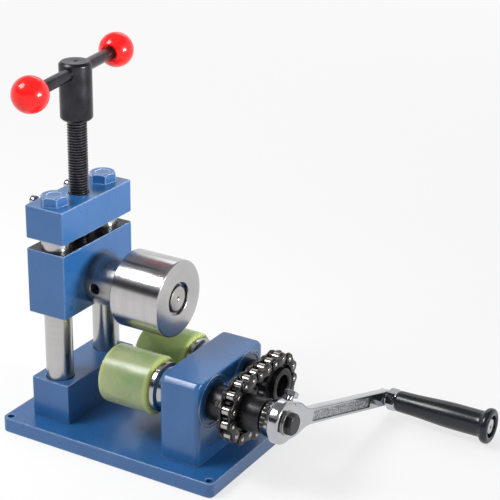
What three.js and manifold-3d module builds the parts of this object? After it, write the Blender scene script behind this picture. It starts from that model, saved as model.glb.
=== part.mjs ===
// Hand-cranked three-roller bending machine for rings and bangles.
// Millimetres, +Z up, origin at the centre of the base plate's underside, +X along the roller axes.
import * as THREE from "three";
import { mergeVertices } from "three/addons/utils/BufferGeometryUtils.js";
import Module from "manifold-3d";

const wasm = await Module();
wasm.setup();

// Clearances
const seatGap = 0.3;
const runningGap = 0.35;

// Base plate
const plateLength = 225;
const plateWidth = 143;
const plateThickness = 14;
const plateCornerRadius = 5;
const plateHoleRadius = 3.25;
const plateHoleInset = 6;

// Blocks on the columns
const blockThickness = 40;
const blockWidth = 103;
const columnBlockInset = 20.9;
const columnBlockHeight = 38.7;
const slidingBlockHeight = 60.8;
const topBlockHeight = 30.6;

// Columns
const columnRadius = 12.5;
const columnSpacing = 71.4;
const columnFreeLength = 135.2;
const columnSeatDepth = 12;
const carriageRestHeight = 64.7;

// Bolts on the top block
const columnBoltRadius = 6.8;
const columnBoltHeadRadius = 12.6;
const columnBoltHeadHeight = 8.8;
const columnBoltGrip = 16;
const clampScrewRadius = 2.5;
const clampScrewHeadRadius = 4.6;
const clampScrewHeadHeight = 4.5;
const clampScrewReach = 13;
const clampScrewDepth = 10;
const clampScrewSpacing = 49.6;
const clampScrewDrop = 6.5;

// Pressure screw and its handle
const screwRadius = 9;
const screwPitch = 2.5;
const screwThreadDepth = 1.4;
const screwExposedLength = 67.4;
const screwNeckRadius = 6.5;
const screwNeckDepth = 26;
const screwGrooveDepth = 2.4;
const retainingPinRadius = 2;
const retainingPinDepth = 10;
const screwHubRadius = 14.5;
const screwHubHeight = 52.2;
const screwHubChamfer = 2.2;
const tommyBarRadius = 5.5;
const tommyBarDrop = 9;
const tommyBarTurn = THREE.MathUtils.degToRad(8.7);
const knobSpacing = 156;
const knobRadius = 16;
const knobSocketDepth = 11;

// Upper roller
const upperAxisInBlock = 22.5;
const upperRollerRadius = 35;
const upperRollerLength = 49.5;
const upperRollerRecessRadius = 15;
const upperRollerRecessDepth = 3.6;
const upperShaftRadius = 11.3;
const upperShaftEndRecess = 0.6;
const circlipWidth = 2.6;
const circlipThickness = 1.4;
const collarRadius = 22.5;
const collarLength = 35.3;
const collarScrewRadius = 3.2;
const collarScrewInset = 11;

// Lower rollers
const lowerAxisHeight = 67.4;
const centreDistance = 56;
const sleeveRadius = 26.5;
const sleeveLength = 51.5;
const sleeveWall = 7.5;
const flangeRadius = 22.5;
const flangeThickness = 4.5;
const backFlangeThickness = 1.6;
const coneRadius = 15.5;
const coneLength = 9.2;
const shaftRadius = 10;

// Bearing block
const bearingBlockThickness = 39.5;
const bearingBlockWidth = 108.8;
const bearingBlockHeight = 78.9;
const bearingBlockEdgeCut = 4.5;
const bearingBlockCornerRadius = 4;
const bearingOuterRadius = 23.5;
const bearingWidth = 14;
const bearingRaceWall = 3.2;
const bearingShieldDepth = 0.8;

// Chain drive
const chainPitch = 12.7;
const sprocketTeeth = 12;
const chainOffset = 27;
const toothWidth = 7;
const toothTipHeight = 2.4;
const sprocketHubRadius = 16;
const driveHubReach = 25;
const drivenHubReach = 9;
const drivenShaftSetback = 10.5;
const chainRollerRadius = 4.25;
const chainPinRadius = 2.1;
const chainPlateThickness = 1.5;
const innerPlateHeight = 11.4;
const outerPlateHeight = 10.4;
const leastChainSlack = 1.5;
const joggleHalf = 0.35;
const plateWaist = 0.78;

// Crank
const crankRadius = 178;
const crankDrop = THREE.MathUtils.degToRad(16.1);
const crankHubRadius = 14.5;
const crankHubFrontRadius = 18;
const crankHubLength = 9;
const crankEyeThickness = 11;
const crankEyeRadius = 19.5;
const crankEndWall = 4;
const crankOffset = 15;
const crankArmWidth = 15;
const crankShoulderWidth = 29;
const crankShoulderLength = 23;
const crankNeckLength = 41;
const crankArmThickness = 8;
const crankPanelDepth = 1.2;
const crankPanelMargin = 2.6;
const crankPanelEndInset = 34;
const crankBoltRadius = 9.6;
const crankBoltHeadHeight = 7.6;
const crankBoltShankRadius = 5;
const crankBoltShankLength = 22;
const crankWasherRadius = 10.8;
const crankWasherThickness = 1.6;
const clampBoltRadius = 3;
const clampBoltHeadRadius = 6.4;
const clampBoltHeadHeight = 4.6;
const clampBoltReach = 3;
const clampBoltInset = 5;
const clampBoltLean = THREE.MathUtils.degToRad(25);

// Grip
const spindleRadius = 4;
const spindleNutRadius = 10.4;
const spindleNutThickness = 9.3;
const spindleHeadRadius = 7;
const spindleHeadThickness = 3;
const gripLength = 94;
const gripNeckRadius = 9.8;
const gripBodyRadius = 12.3;
const gripFlangeRadius = 16.8;
const gripFlangeLength = 5;
const gripRecessDepth = 5;
const gripRecessRadius = 9.5;

// Facets round a turn
const fineFacets = 24;
const mediumFacets = 18;
const smallFacets = 10;
const threadFacets = 10;
const chainFacets = 8;
const pinFacets = 6;
const plateEndSteps = 3;
const cornerSteps = 3;

// Places worked out from the sizes above
const columnX = -plateLength / 2 + columnBlockInset + blockThickness / 2;
const columnFaceX = columnX + blockThickness / 2;
const columnBlockTop = plateThickness + columnBlockHeight;
const slidingBlockBottom = columnBlockTop + carriageRestHeight;
const slidingBlockTop = slidingBlockBottom + slidingBlockHeight;
const topBlockBottom = columnBlockTop + columnFreeLength;
const topBlockTop = topBlockBottom + topBlockHeight;
const upperAxisZ = slidingBlockBottom + upperAxisInBlock;
const upperRollerBack = columnFaceX + collarLength + runningGap;
const upperRollerFront = upperRollerBack + upperRollerLength;
const rollerCentreX = (upperRollerBack + upperRollerFront) / 2;
const sleeveBack = rollerCentreX - sleeveLength / 2;
const sleeveFront = rollerCentreX + sleeveLength / 2;
const flangeFront = sleeveFront + flangeThickness;
const bearingBlockBack = flangeFront + coneLength + seatGap;
const bearingBlockFront = bearingBlockBack + bearingBlockThickness;
const chainX = bearingBlockFront + chainOffset;
const driveHubEnd = chainX + driveHubReach;
const drivenHubEnd = chainX + drivenHubReach;
const toothStep = (2 * Math.PI) / sprocketTeeth;
const pitchRadius = chainPitch / (2 * Math.sin(toothStep / 2));
const crankHubBack = driveHubEnd + seatGap;
const crankHubFront = crankHubBack + crankHubLength + crankEyeThickness;
const crankShaftFront = crankHubFront - crankEndWall;
const armRootX = crankHubFront - crankEyeThickness / 2;
const armEndX = armRootX + crankOffset;
const armLean = crankOffset / crankRadius;
const armTipHalf = crankArmThickness / 2 + (armLean * crankArmWidth) / 2 + 0.2;
const screwHubBottom = topBlockTop + screwExposedLength;
const screwHubTop = screwHubBottom + screwHubHeight;
const tommyBarZ = screwHubTop - tommyBarDrop;

const AXIS_X = new THREE.Vector3(1, 0, 0);
const AXIS_Y = new THREE.Vector3(0, 1, 0);
const AXIS_Z = new THREE.Vector3(0, 0, 1);

// Turns a closed three.js geometry into a solid that can be joined and cut.
function solidOf(geometry) {
  const bare = geometry.index ? geometry.toNonIndexed() : geometry.clone();
  bare.deleteAttribute("normal");
  bare.deleteAttribute("uv");
  const merged = mergeVertices(bare, 1e-4);
  const triVerts = new Uint32Array(merged.index.array);
  const vertProperties = merged.attributes.position.array;
  const solid = new wasm.Manifold(new wasm.Mesh({ numProp: 3, vertProperties, triVerts }));
  if (solid.volume() >= 0) return solid;
  const turned = triVerts.slice().reverse();
  return new wasm.Manifold(new wasm.Mesh({ numProp: 3, vertProperties, triVerts: turned }));
}

function geometryOf(solid) {
  const mesh = solid.getMesh();
  const geometry = new THREE.BufferGeometry();
  const positions = new Float32Array(mesh.numVert * 3);
  for (let i = 0; i < mesh.numVert; i += 1) {
    for (let k = 0; k < 3; k += 1) positions[3 * i + k] = mesh.vertProperties[mesh.numProp * i + k];
  }
  geometry.setAttribute("position", new THREE.BufferAttribute(positions, 3));
  geometry.setIndex(new THREE.BufferAttribute(new Uint32Array(mesh.triVerts), 1));
  const flat = geometry.toNonIndexed();
  flat.computeVertexNormals();
  return flat;
}

// A matrix that carries the local +Z axis to the given axis.
function alongAxis(axis) {
  if (axis === AXIS_X) return new THREE.Matrix4().makeBasis(AXIS_Y, AXIS_Z, AXIS_X);
  if (axis === AXIS_Y) return new THREE.Matrix4().makeBasis(AXIS_Z, AXIS_X, AXIS_Y);
  return new THREE.Matrix4();
}

// A solid of revolution: the profile is a list of [place along the axis, radius] points.
function turned(axis, profile, facets) {
  const points = profile.map(([along, radius]) => new THREE.Vector2(Math.max(radius, 0), along));
  const geometry = new THREE.LatheGeometry(points, facets);
  geometry.rotateX(Math.PI / 2);
  geometry.applyMatrix4(alongAxis(axis));
  return solidOf(geometry);
}

function rod(axis, radius, from, to, facets) {
  return turned(axis, [[from, 0], [from, radius], [to, radius], [to, 0]], facets);
}

function tube(axis, inner, outer, from, to, facets) {
  return turned(axis, [[from, inner], [from, outer], [to, outer], [to, inner], [from, inner]], facets);
}

function box(low, high) {
  const geometry = new THREE.BoxGeometry(high[0] - low[0], high[1] - low[1], high[2] - low[2]);
  geometry.translate((low[0] + high[0]) / 2, (low[1] + high[1]) / 2, (low[2] + high[2]) / 2);
  return solidOf(geometry);
}

// A prism whose outline lies square to the axis, in the order Y,Z for X and X,Y for Z.
function prism(axis, outline, from, to) {
  const shape = new THREE.Shape(outline.map(([u, v]) => new THREE.Vector2(u, v)));
  const geometry = new THREE.ExtrudeGeometry(shape, { depth: to - from, bevelEnabled: false });
  geometry.translate(0, 0, from);
  geometry.applyMatrix4(alongAxis(axis));
  return solidOf(geometry);
}

function polygon(sides, radius, start) {
  const outline = [];
  for (let i = 0; i < sides; i += 1) {
    const angle = start + (2 * Math.PI * i) / sides;
    outline.push([radius * Math.cos(angle), radius * Math.sin(angle)]);
  }
  return outline;
}

// A rectangle's outline with rounded corners, counter-clockwise
function roundedRectangle(width, height, radius, steps) {
  const outline = [];
  const corners = [[1, -1], [1, 1], [-1, 1], [-1, -1]];
  corners.forEach(([sideU, sideV], corner) => {
    for (let i = 0; i <= steps; i += 1) {
      const angle = ((corner - 1) * Math.PI) / 2 + (Math.PI * i) / (2 * steps);
      outline.push([
        sideU * (width / 2 - radius) + radius * Math.cos(angle),
        sideV * (height / 2 - radius) + radius * Math.sin(angle),
      ]);
    }
  });
  return outline;
}

function moved(solid, x, y, z) {
  return solid.translate([x, y, z]);
}

function addPiece(parent, name, solid, look) {
  const material = new THREE.MeshStandardMaterial(look);
  const mesh = new THREE.Mesh(geometryOf(solid), material);
  mesh.name = name;
  parent.add(mesh);
  return mesh;
}

function addGroup(parent, x, y, z) {
  const group = new THREE.Group();
  group.position.set(x, y, z);
  parent.add(group);
  return group;
}

// Finishes
const bluePaint = { color: 0x2f6199, roughness: 0.38, metalness: 0.1 };
const groundSteel = { color: 0xb9b8b4, roughness: 0.3, metalness: 1 };
const darkSteel = { color: 0x2a2826, roughness: 0.45, metalness: 0.9 };
const chrome = { color: 0xd8d9dc, roughness: 0.12, metalness: 1 };
const polyurethane = { color: 0xb9c46a, roughness: 0.3, metalness: 0 };
const redPlastic = { color: 0xd51f1c, roughness: 0.12, metalness: 0 };
const blackRubber = { color: 0x16161a, roughness: 0.45, metalness: 0 };

const machine = new THREE.Group();

// Base plate with a hole near each corner
function makeBasePlate() {
  const outline = roundedRectangle(plateLength, plateWidth, plateCornerRadius, cornerSteps);
  let plate = prism(AXIS_Z, outline, 0, plateThickness);
  const holeX = plateLength / 2 - plateHoleInset;
  const holeY = plateWidth / 2 - plateHoleInset;
  for (const sideX of [-1, 1]) {
    for (const sideY of [-1, 1]) {
      const hole = rod(AXIS_Z, plateHoleRadius, -1, plateThickness + 1, smallFacets);
      plate = plate.subtract(moved(hole, sideX * holeX, sideY * holeY, 0));
    }
  }
  addPiece(machine, "base_plate", plate, bluePaint);
}

// The three blocks on the columns share one footprint, centred on the column line.
function blockBody(bottom, top) {
  const x = blockThickness / 2;
  const y = blockWidth / 2;
  return box([-x, -y, bottom], [x, y, top]);
}

function drillForColumns(block, from, to) {
  let drilled = block;
  for (const side of [-1, 1]) {
    const hole = rod(AXIS_Z, columnRadius + seatGap, from, to, mediumFacets);
    drilled = drilled.subtract(moved(hole, 0, (side * columnSpacing) / 2, 0));
  }
  return drilled;
}

function makeColumnFrame() {
  const group = addGroup(machine, columnX, 0, 0);
  const lowerBody = blockBody(plateThickness, columnBlockTop);
  const lower = drillForColumns(lowerBody, plateThickness - 1, columnBlockTop + 1);
  addPiece(group, "column_block", lower, bluePaint);

  const seatTop = topBlockBottom + columnSeatDepth;
  const upperBody = blockBody(topBlockBottom, topBlockTop);
  let upper = drillForColumns(upperBody, topBlockBottom - 1, seatTop + seatGap);
  const screwRun = screwRadius + runningGap;
  upper = upper.subtract(rod(AXIS_Z, screwRun, topBlockBottom - 1, topBlockTop + 1, mediumFacets));
  const screwZ = topBlockTop - clampScrewDrop;
  const back = -blockThickness / 2;
  const headOuter = back - clampScrewReach;
  for (const side of [-1, 1]) {
    const boltHole = rod(AXIS_Z, columnBoltRadius + seatGap, topBlockBottom, topBlockTop + 1, smallFacets);
    upper = upper.subtract(moved(boltHole, 0, (side * columnSpacing) / 2, 0));
    const screwHoleEnd = back + clampScrewDepth + seatGap;
    const screwHole = rod(AXIS_X, clampScrewRadius + seatGap, back - 1, screwHoleEnd, smallFacets);
    upper = upper.subtract(moved(screwHole, 0, (side * clampScrewSpacing) / 2, screwZ));
  }
  addPiece(group, "top_block", upper, bluePaint);

  for (const [side, place] of [[-1, "front"], [1, "rear"]]) {
    const y = (side * columnSpacing) / 2;
    const boltBottom = seatTop - columnBoltGrip;
    let column = rod(AXIS_Z, columnRadius, plateThickness, seatTop, mediumFacets);
    const tapped = rod(AXIS_Z, columnBoltRadius + seatGap, boltBottom - seatGap, seatTop + 1, smallFacets);
    column = column.subtract(tapped);
    addPiece(group, "column_" + place, column, groundSteel).position.y = y;

    const boltTop = topBlockTop + columnBoltHeadHeight;
    const head = prism(AXIS_Z, polygon(6, columnBoltHeadRadius, 0.3), topBlockTop, boltTop);
    const shank = rod(AXIS_Z, columnBoltRadius, boltBottom, topBlockTop + 1, smallFacets);
    addPiece(group, "column_bolt_" + place, head.add(shank), bluePaint).position.y = y;

    let screw = rod(AXIS_X, clampScrewRadius, headOuter, back + clampScrewDepth, smallFacets);
    const headEnd = headOuter + clampScrewHeadHeight;
    screw = screw.add(rod(AXIS_X, clampScrewHeadRadius, headOuter, headEnd, smallFacets));
    const socketEnd = headOuter + clampScrewHeadHeight / 2;
    const socket = prism(AXIS_X, polygon(6, clampScrewRadius, 0), headOuter - 1, socketEnd);
    screw = screw.subtract(socket);
    const screwMesh = addPiece(group, "clamp_screw_" + place, screw, chrome);
    screwMesh.position.set(0, (side * clampScrewSpacing) / 2, screwZ);
  }
}

// Pressure screw: a helical ridge wound on its core as one closed skin, with plain ends.
function threadedRod(from, to) {
  const root = screwRadius - screwThreadDepth;
  const turns = Math.floor((to - from - screwPitch) / screwPitch);
  const steps = turns * threadFacets;
  const start = (from + to - turns * screwPitch) / 2;
  const positions = [];
  const faces = [];
  const ring = (angle, radius, z) => positions.push(radius * Math.cos(angle), radius * Math.sin(angle), z);
  for (let i = 0; i <= steps + threadFacets; i += 1) {
    const angle = (2 * Math.PI * i) / threadFacets;
    const z = start + (screwPitch * (i - threadFacets / 2)) / threadFacets;
    const runOut = Math.min(i, steps + threadFacets - i, threadFacets / 2) / (threadFacets / 2);
    ring(angle, root, z - screwPitch / 4);
    ring(angle, root + screwThreadDepth * runOut, z + screwPitch / 4);
  }
  const last = steps + threadFacets;
  for (let i = 0; i < last; i += 1) {
    faces.push(2 * i, 2 * i + 2, 2 * i + 3, 2 * i, 2 * i + 3, 2 * i + 1);
  }
  for (let i = 0; i + threadFacets < last; i += 1) {
    const up = 2 * (i + threadFacets);
    faces.push(2 * i + 1, 2 * i + 3, up + 2, 2 * i + 1, up + 2, up);
  }
  const bottomCentre = positions.length / 3;
  positions.push(0, 0, from);
  const topCentre = bottomCentre + 1;
  positions.push(0, 0, to);
  for (let i = 0; i < threadFacets; i += 1) {
    faces.push(bottomCentre, 2 * i + 2, 2 * i);
    const upper = 2 * (last - threadFacets + i) + 1;
    faces.push(topCentre, upper, upper + 2);
  }
  faces.push(bottomCentre, 0, 1, bottomCentre, 1, 2 * threadFacets);
  faces.push(topCentre, 2 * last + 1, 2 * last);
  faces.push(topCentre, 2 * last, 2 * (last - threadFacets) + 1);
  const geometry = new THREE.BufferGeometry();
  geometry.setAttribute("position", new THREE.Float32BufferAttribute(positions, 3));
  geometry.setIndex(faces);
  return solidOf(geometry);
}

function makePressureScrew() {
  const group = addGroup(machine, columnX, 0, 0);
  const neckBottom = slidingBlockTop - screwNeckDepth;
  const threadBottom = slidingBlockTop + seatGap;
  const grooveZ = slidingBlockTop - screwNeckDepth / 2;
  const grooveHalf = retainingPinRadius + seatGap;
  const groove = screwNeckRadius - screwGrooveDepth;
  let screw = threadedRod(threadBottom, screwHubBottom + 1);
  screw = screw.add(turned(AXIS_Z, [
    [neckBottom, 0], [neckBottom, screwNeckRadius],
    [grooveZ - grooveHalf, screwNeckRadius], [grooveZ - grooveHalf, groove],
    [grooveZ + grooveHalf, groove], [grooveZ + grooveHalf, screwNeckRadius],
    [threadBottom, screwNeckRadius], [threadBottom + screwPitch, screwNeckRadius],
    [threadBottom + screwPitch, 0],
  ], smallFacets));
  const stubTop = tommyBarZ - tommyBarRadius - 2 * screwHubChamfer;
  screw = screw.add(rod(AXIS_Z, screwNeckRadius, screwHubBottom - screwPitch, stubTop, smallFacets));
  const stubSleeve = tube(AXIS_Z, screwNeckRadius, 2 * screwRadius, screwHubBottom, stubTop, smallFacets);
  screw = screw.subtract(stubSleeve);
  addPiece(group, "press_screw", screw, darkSteel);

  const c = screwHubChamfer;
  let hub = turned(AXIS_Z, [
    [screwHubBottom, 0], [screwHubBottom, screwHubRadius - c], [screwHubBottom + c, screwHubRadius],
    [screwHubTop - c, screwHubRadius], [screwHubTop, screwHubRadius - c], [screwHubTop, 0],
  ], mediumFacets);
  const stubRadius = screwNeckRadius + seatGap;
  hub = hub.subtract(rod(AXIS_Z, stubRadius, screwHubBottom - 1, stubTop + seatGap, smallFacets));
  const handle = new THREE.Group();
  handle.rotation.z = tommyBarTurn;
  handle.position.z = tommyBarZ;
  group.add(handle);
  const crossEnd = 2 * screwHubRadius;
  let crossHole = rod(AXIS_Y, tommyBarRadius + seatGap, -crossEnd, crossEnd, smallFacets);
  crossHole = crossHole.rotate([0, 0, THREE.MathUtils.radToDeg(tommyBarTurn)]);
  hub = hub.subtract(moved(crossHole, 0, 0, tommyBarZ));
  addPiece(group, "screw_hub", hub, darkSteel);

  const barEnd = knobSpacing / 2 - knobRadius + knobSocketDepth;
  addPiece(handle, "tommy_bar", rod(AXIS_Y, tommyBarRadius, -barEnd, barEnd, smallFacets), darkSteel);
  for (const [side, place] of [[-1, "front"], [1, "rear"]]) {
    const ball = solidOf(new THREE.SphereGeometry(knobRadius, mediumFacets, smallFacets));
    const socketEnds = [0, side * 2 * knobRadius].sort((a, b) => a - b);
    let socket = rod(AXIS_Y, tommyBarRadius + seatGap, socketEnds[0], socketEnds[1], smallFacets);
    socket = moved(socket, 0, -side * (2 * knobRadius + knobRadius - knobSocketDepth - seatGap), 0);
    const knob = addPiece(handle, "knob_" + place, ball.subtract(socket), redPlastic);
    knob.position.y = (side * knobSpacing) / 2;
  }
}

// Sliding block with the upper roller on its fixed shaft
function makeCarriage() {
  const group = addGroup(machine, columnX, 0, 0);
  const front = blockThickness / 2;
  const grooveZ = slidingBlockTop - screwNeckDepth / 2;
  const pinY = screwNeckRadius - screwGrooveDepth + retainingPinRadius + seatGap;
  let block = drillForColumns(
    blockBody(slidingBlockBottom, slidingBlockTop), slidingBlockBottom - 1, slidingBlockTop + 1);
  const neckRun = screwNeckRadius + runningGap;
  const neckHoleBottom = slidingBlockTop - screwNeckDepth - seatGap;
  const neckHole = rod(AXIS_Z, neckRun, neckHoleBottom, slidingBlockTop + 1, mediumFacets);
  block = block.subtract(neckHole);
  const shaftHole = rod(AXIS_X, upperShaftRadius + seatGap, -front - 1, front + 1, fineFacets);
  block = block.subtract(moved(shaftHole, 0, 0, upperAxisZ));
  const pinHoleEnd = retainingPinDepth + seatGap;
  const pinSeat = rod(AXIS_X, retainingPinRadius + seatGap, -front - 1, pinHoleEnd, smallFacets);
  block = block.subtract(moved(pinSeat, 0, pinY, grooveZ));
  addPiece(group, "sliding_block", block, bluePaint);
  const pin = rod(AXIS_X, retainingPinRadius, -front, retainingPinDepth, smallFacets);
  addPiece(group, "retaining_pin", pin, groundSteel).position.set(0, pinY, grooveZ);

  const axis = addGroup(machine, 0, 0, upperAxisZ);
  const shaftEnd = upperRollerFront - upperShaftEndRecess;
  const recessBottom = upperRollerFront - upperRollerRecessDepth;
  const clipBack = recessBottom + seatGap;
  const clipFront = clipBack + circlipThickness;
  const clipSeat = upperShaftRadius - circlipWidth / 2;
  const shaft = turned(AXIS_X, [
    [columnX - front, 0], [columnX - front, upperShaftRadius],
    [clipBack - seatGap, upperShaftRadius], [clipBack - seatGap, clipSeat],
    [clipFront + seatGap, clipSeat], [clipFront + seatGap, upperShaftRadius],
    [shaftEnd, upperShaftRadius], [shaftEnd, 0],
  ], fineFacets);
  addPiece(axis, "roller_shaft", shaft, groundSteel);

  const clip = tube(
    AXIS_X, clipSeat + seatGap, clipSeat + seatGap + circlipWidth, clipBack, clipFront, fineFacets);
  const mouth = box([clipBack - 1, -1.6, 0], [clipFront + 1, 1.6, upperRollerRecessRadius]);
  addPiece(axis, "roller_circlip", clip.subtract(mouth), darkSteel);

  const collarFront = columnFaceX + collarLength;
  const collarScrewX = columnFaceX + collarScrewInset;
  let collar = tube(AXIS_X, upperShaftRadius + seatGap, collarRadius, columnFaceX, collarFront, fineFacets);
  const screwHole = rod(AXIS_Y, collarScrewRadius + seatGap, -collarRadius - 1, 0, smallFacets);
  collar = collar.subtract(moved(screwHole, collarScrewX, 0, 0));
  addPiece(axis, "shaft_collar", collar, groundSteel);
  const screwFrom = -collarRadius + collarScrewRadius / 2;
  let setScrew = rod(AXIS_Y, collarScrewRadius, screwFrom, -upperShaftRadius - seatGap, smallFacets);
  const socket = rod(AXIS_Y, collarScrewRadius / 2, screwFrom - 1, screwFrom + collarScrewRadius, 6);
  setScrew = setScrew.subtract(socket);
  addPiece(axis, "collar_set_screw", setScrew, darkSteel).position.x = collarScrewX;

  const bore = upperShaftRadius + runningGap;
  const roller = turned(AXIS_X, [
    [upperRollerBack, bore], [upperRollerBack, upperRollerRadius - 1],
    [upperRollerBack + 1, upperRollerRadius], [upperRollerFront - 1, upperRollerRadius],
    [upperRollerFront, upperRollerRadius - 1], [upperRollerFront, upperRollerRecessRadius],
    [recessBottom, upperRollerRecessRadius], [recessBottom, bore], [upperRollerBack, bore],
  ], fineFacets);
  addPiece(axis, "upper_roller", roller, groundSteel);
}

// Bearing block with a ball bearing for each lower shaft
function makeBearingBlock() {
  const y = bearingBlockWidth / 2;
  const top = plateThickness + bearingBlockHeight;
  const cut = bearingBlockEdgeCut;
  const outline = [
    [-y, plateThickness], [y, plateThickness], [y, top - cut],
    [y - cut, top], [-y + cut, top], [-y, top - cut],
  ];
  let block = prism(AXIS_X, outline, bearingBlockBack, bearingBlockFront);
  const footprint = roundedRectangle(
    bearingBlockThickness, bearingBlockWidth, bearingBlockCornerRadius, cornerSteps);
  const upright = prism(AXIS_Z, footprint, plateThickness, top);
  block = block.intersect(moved(upright, (bearingBlockBack + bearingBlockFront) / 2, 0, 0));
  const bearingBack = bearingBlockFront - bearingWidth;
  for (const side of [-1, 1]) {
    const axisY = (side * centreDistance) / 2;
    const bore = rod(AXIS_X, shaftRadius + runningGap, bearingBlockBack - 1, bearingBlockFront, fineFacets);
    const pocketRadius = bearingOuterRadius + seatGap;
    const pocket = rod(AXIS_X, pocketRadius, bearingBack, bearingBlockFront + 1, fineFacets);
    block = block.subtract(moved(bore.add(pocket), 0, axisY, lowerAxisHeight));
  }
  addPiece(machine, "bearing_block", block, bluePaint);

  const inner = shaftRadius + runningGap;
  const shield = bearingBlockFront - bearingShieldDepth;
  const bearingProfile = [
    [bearingBack, inner], [bearingBack, bearingOuterRadius],
    [bearingBlockFront, bearingOuterRadius], [bearingBlockFront, bearingOuterRadius - bearingRaceWall],
    [shield, bearingOuterRadius - bearingRaceWall], [shield, inner + bearingRaceWall],
    [bearingBlockFront, inner + bearingRaceWall], [bearingBlockFront, inner], [bearingBack, inner],
  ];
  for (const [side, place] of [[-1, "front"], [1, "rear"]]) {
    const bearing = turned(AXIS_X, bearingProfile, fineFacets);
    const bearingMesh = addPiece(machine, "bearing_" + place, bearing, groundSteel);
    bearingMesh.position.set(0, (side * centreDistance) / 2, lowerAxisHeight);
  }
}

// Outline of a sprocket: round seats for the chain rollers, with a blunt tooth between each two.
function sprocketOutline(phase) {
  const seat = chainRollerRadius + runningGap;
  const seatSteps = 3;
  const seatSpan = THREE.MathUtils.degToRad(60);
  const tipRadius = pitchRadius + toothTipHeight;
  const tipHalfAngle = THREE.MathUtils.degToRad(2.2);
  const outline = [];
  for (let tooth = 0; tooth < sprocketTeeth; tooth += 1) {
    const centre = phase + tooth * toothStep;
    for (let i = 0; i <= seatSteps; i += 1) {
      const swing = centre + Math.PI + seatSpan * (1 - (2 * i) / seatSteps);
      outline.push([
        pitchRadius * Math.cos(centre) + seat * Math.cos(swing),
        pitchRadius * Math.sin(centre) + seat * Math.sin(swing),
      ]);
    }
    for (const edge of [-1, 1]) {
      const angle = centre + toothStep / 2 + edge * tipHalfAngle;
      outline.push([tipRadius * Math.cos(angle), tipRadius * Math.sin(angle)]);
    }
  }
  return outline;
}

// The upper run is tight, and its end pins lie on both pitch circles.
const topLinks = Math.floor((centreDistance + 2 * pitchRadius * Math.sin(toothStep / 2)) / chainPitch);
const wrapStart = Math.asin((topLinks * chainPitch - centreDistance) / (2 * pitchRadius));

// A lower roller: shaft, steel core, tyre and sprocket, all turning together
function makeLowerRoller(side, place, hubEnd, shaftFront) {
  const group = addGroup(machine, 0, (side * centreDistance) / 2, lowerAxisHeight);
  const coreRadius = sleeveRadius - sleeveWall;
  const coreBack = sleeveBack - backFlangeThickness;
  const coneFront = flangeFront + coneLength;
  const bore = shaftRadius + seatGap;
  const core = turned(AXIS_X, [
    [coreBack, bore], [coreBack, flangeRadius], [sleeveBack, flangeRadius], [sleeveBack, coreRadius],
    [sleeveFront, coreRadius], [sleeveFront, flangeRadius],
    [flangeFront, flangeRadius], [coneFront, coneRadius], [coneFront, bore], [coreBack, bore],
  ], fineFacets);
  addPiece(group, place + "_roller_core", core, groundSteel);
  const sleeve = turned(AXIS_X, [
    [sleeveBack + seatGap, coreRadius + seatGap], [sleeveBack + seatGap, sleeveRadius - 1.2],
    [sleeveBack + 1.5, sleeveRadius], [sleeveFront - 1.5, sleeveRadius],
    [sleeveFront - seatGap, sleeveRadius - 1.2], [sleeveFront - seatGap, coreRadius + seatGap],
    [sleeveBack + seatGap, coreRadius + seatGap],
  ], fineFacets);
  addPiece(group, place + "_roller_sleeve", sleeve, polyurethane);
  let shaft = rod(AXIS_X, shaftRadius, coreBack, shaftFront, fineFacets);
  if (side < 0) {
    const boltEnd = crankHubFront - crankBoltShankLength;
    const boltRun = crankBoltShankRadius + seatGap;
    shaft = shaft.subtract(rod(AXIS_X, boltRun, boltEnd - seatGap, shaftFront + 1, smallFacets));
  }
  addPiece(group, place + "_shaft", shaft, groundSteel);

  const phase = Math.PI / 2 - side * wrapStart;
  const teeth = prism(AXIS_X, sprocketOutline(phase), chainX - toothWidth / 2, chainX + toothWidth / 2);
  const hub = rod(AXIS_X, sprocketHubRadius, bearingBlockFront + seatGap, hubEnd, mediumFacets);
  const shaftHole = rod(AXIS_X, bore, bearingBlockFront - 1, hubEnd + 1, fineFacets);
  addPiece(group, place + "_sprocket", teeth.add(hub).subtract(shaftHole), darkSteel);
  return group;
}

// Chain: pin centres as [y, z] round the loop, starting on the front sprocket
function wrapPins(side, count) {
  const pins = [];
  for (let i = 0; i <= count; i += 1) {
    const angle = side * (wrapStart + i * toothStep);
    const y = (side * centreDistance) / 2 + pitchRadius * Math.sin(angle);
    pins.push([y, lowerAxisHeight + pitchRadius * Math.cos(angle)]);
  }
  return pins;
}

// A slack run of equal links: its slopes grow evenly from the middle outwards.
function sagSlopes(count, span) {
  const reach = (bend) => {
    let sum = 0;
    for (let i = 0; i < count; i += 1) sum += 1 / Math.hypot(1, bend * (i - (count - 1) / 2));
    return sum * chainPitch;
  };
  let low = 0;
  let high = 10;
  for (let i = 0; i < 60; i += 1) {
    const middle = (low + high) / 2;
    if (reach(middle) > span) low = middle;
    else high = middle;
  }
  const slopes = [];
  for (let i = 0; i < count; i += 1) slopes.push(low * (i - (count - 1) / 2));
  return slopes;
}

function chainPins() {
  const wrapped = sprocketTeeth / 2;
  const near = wrapPins(-1, wrapped).reverse();
  const far = wrapPins(1, wrapped);
  const pins = [...near];
  for (let i = 1; i < topLinks; i += 1) {
    const y = near[wrapped][0] + i * chainPitch;
    pins.push([y, near[wrapped][1]]);
  }
  pins.push(...far);
  const last = far[wrapped];
  const span = last[0] - near[0][0];
  const lowerLinks = Math.ceil((span + leastChainSlack) / chainPitch);
  let [y, z] = last;
  for (const slope of sagSlopes(lowerLinks, span).slice(0, -1)) {
    const scale = chainPitch / Math.hypot(1, slope);
    y -= scale;
    z += scale * slope;
    pins.push([y, z]);
  }
  return pins;
}

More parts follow.
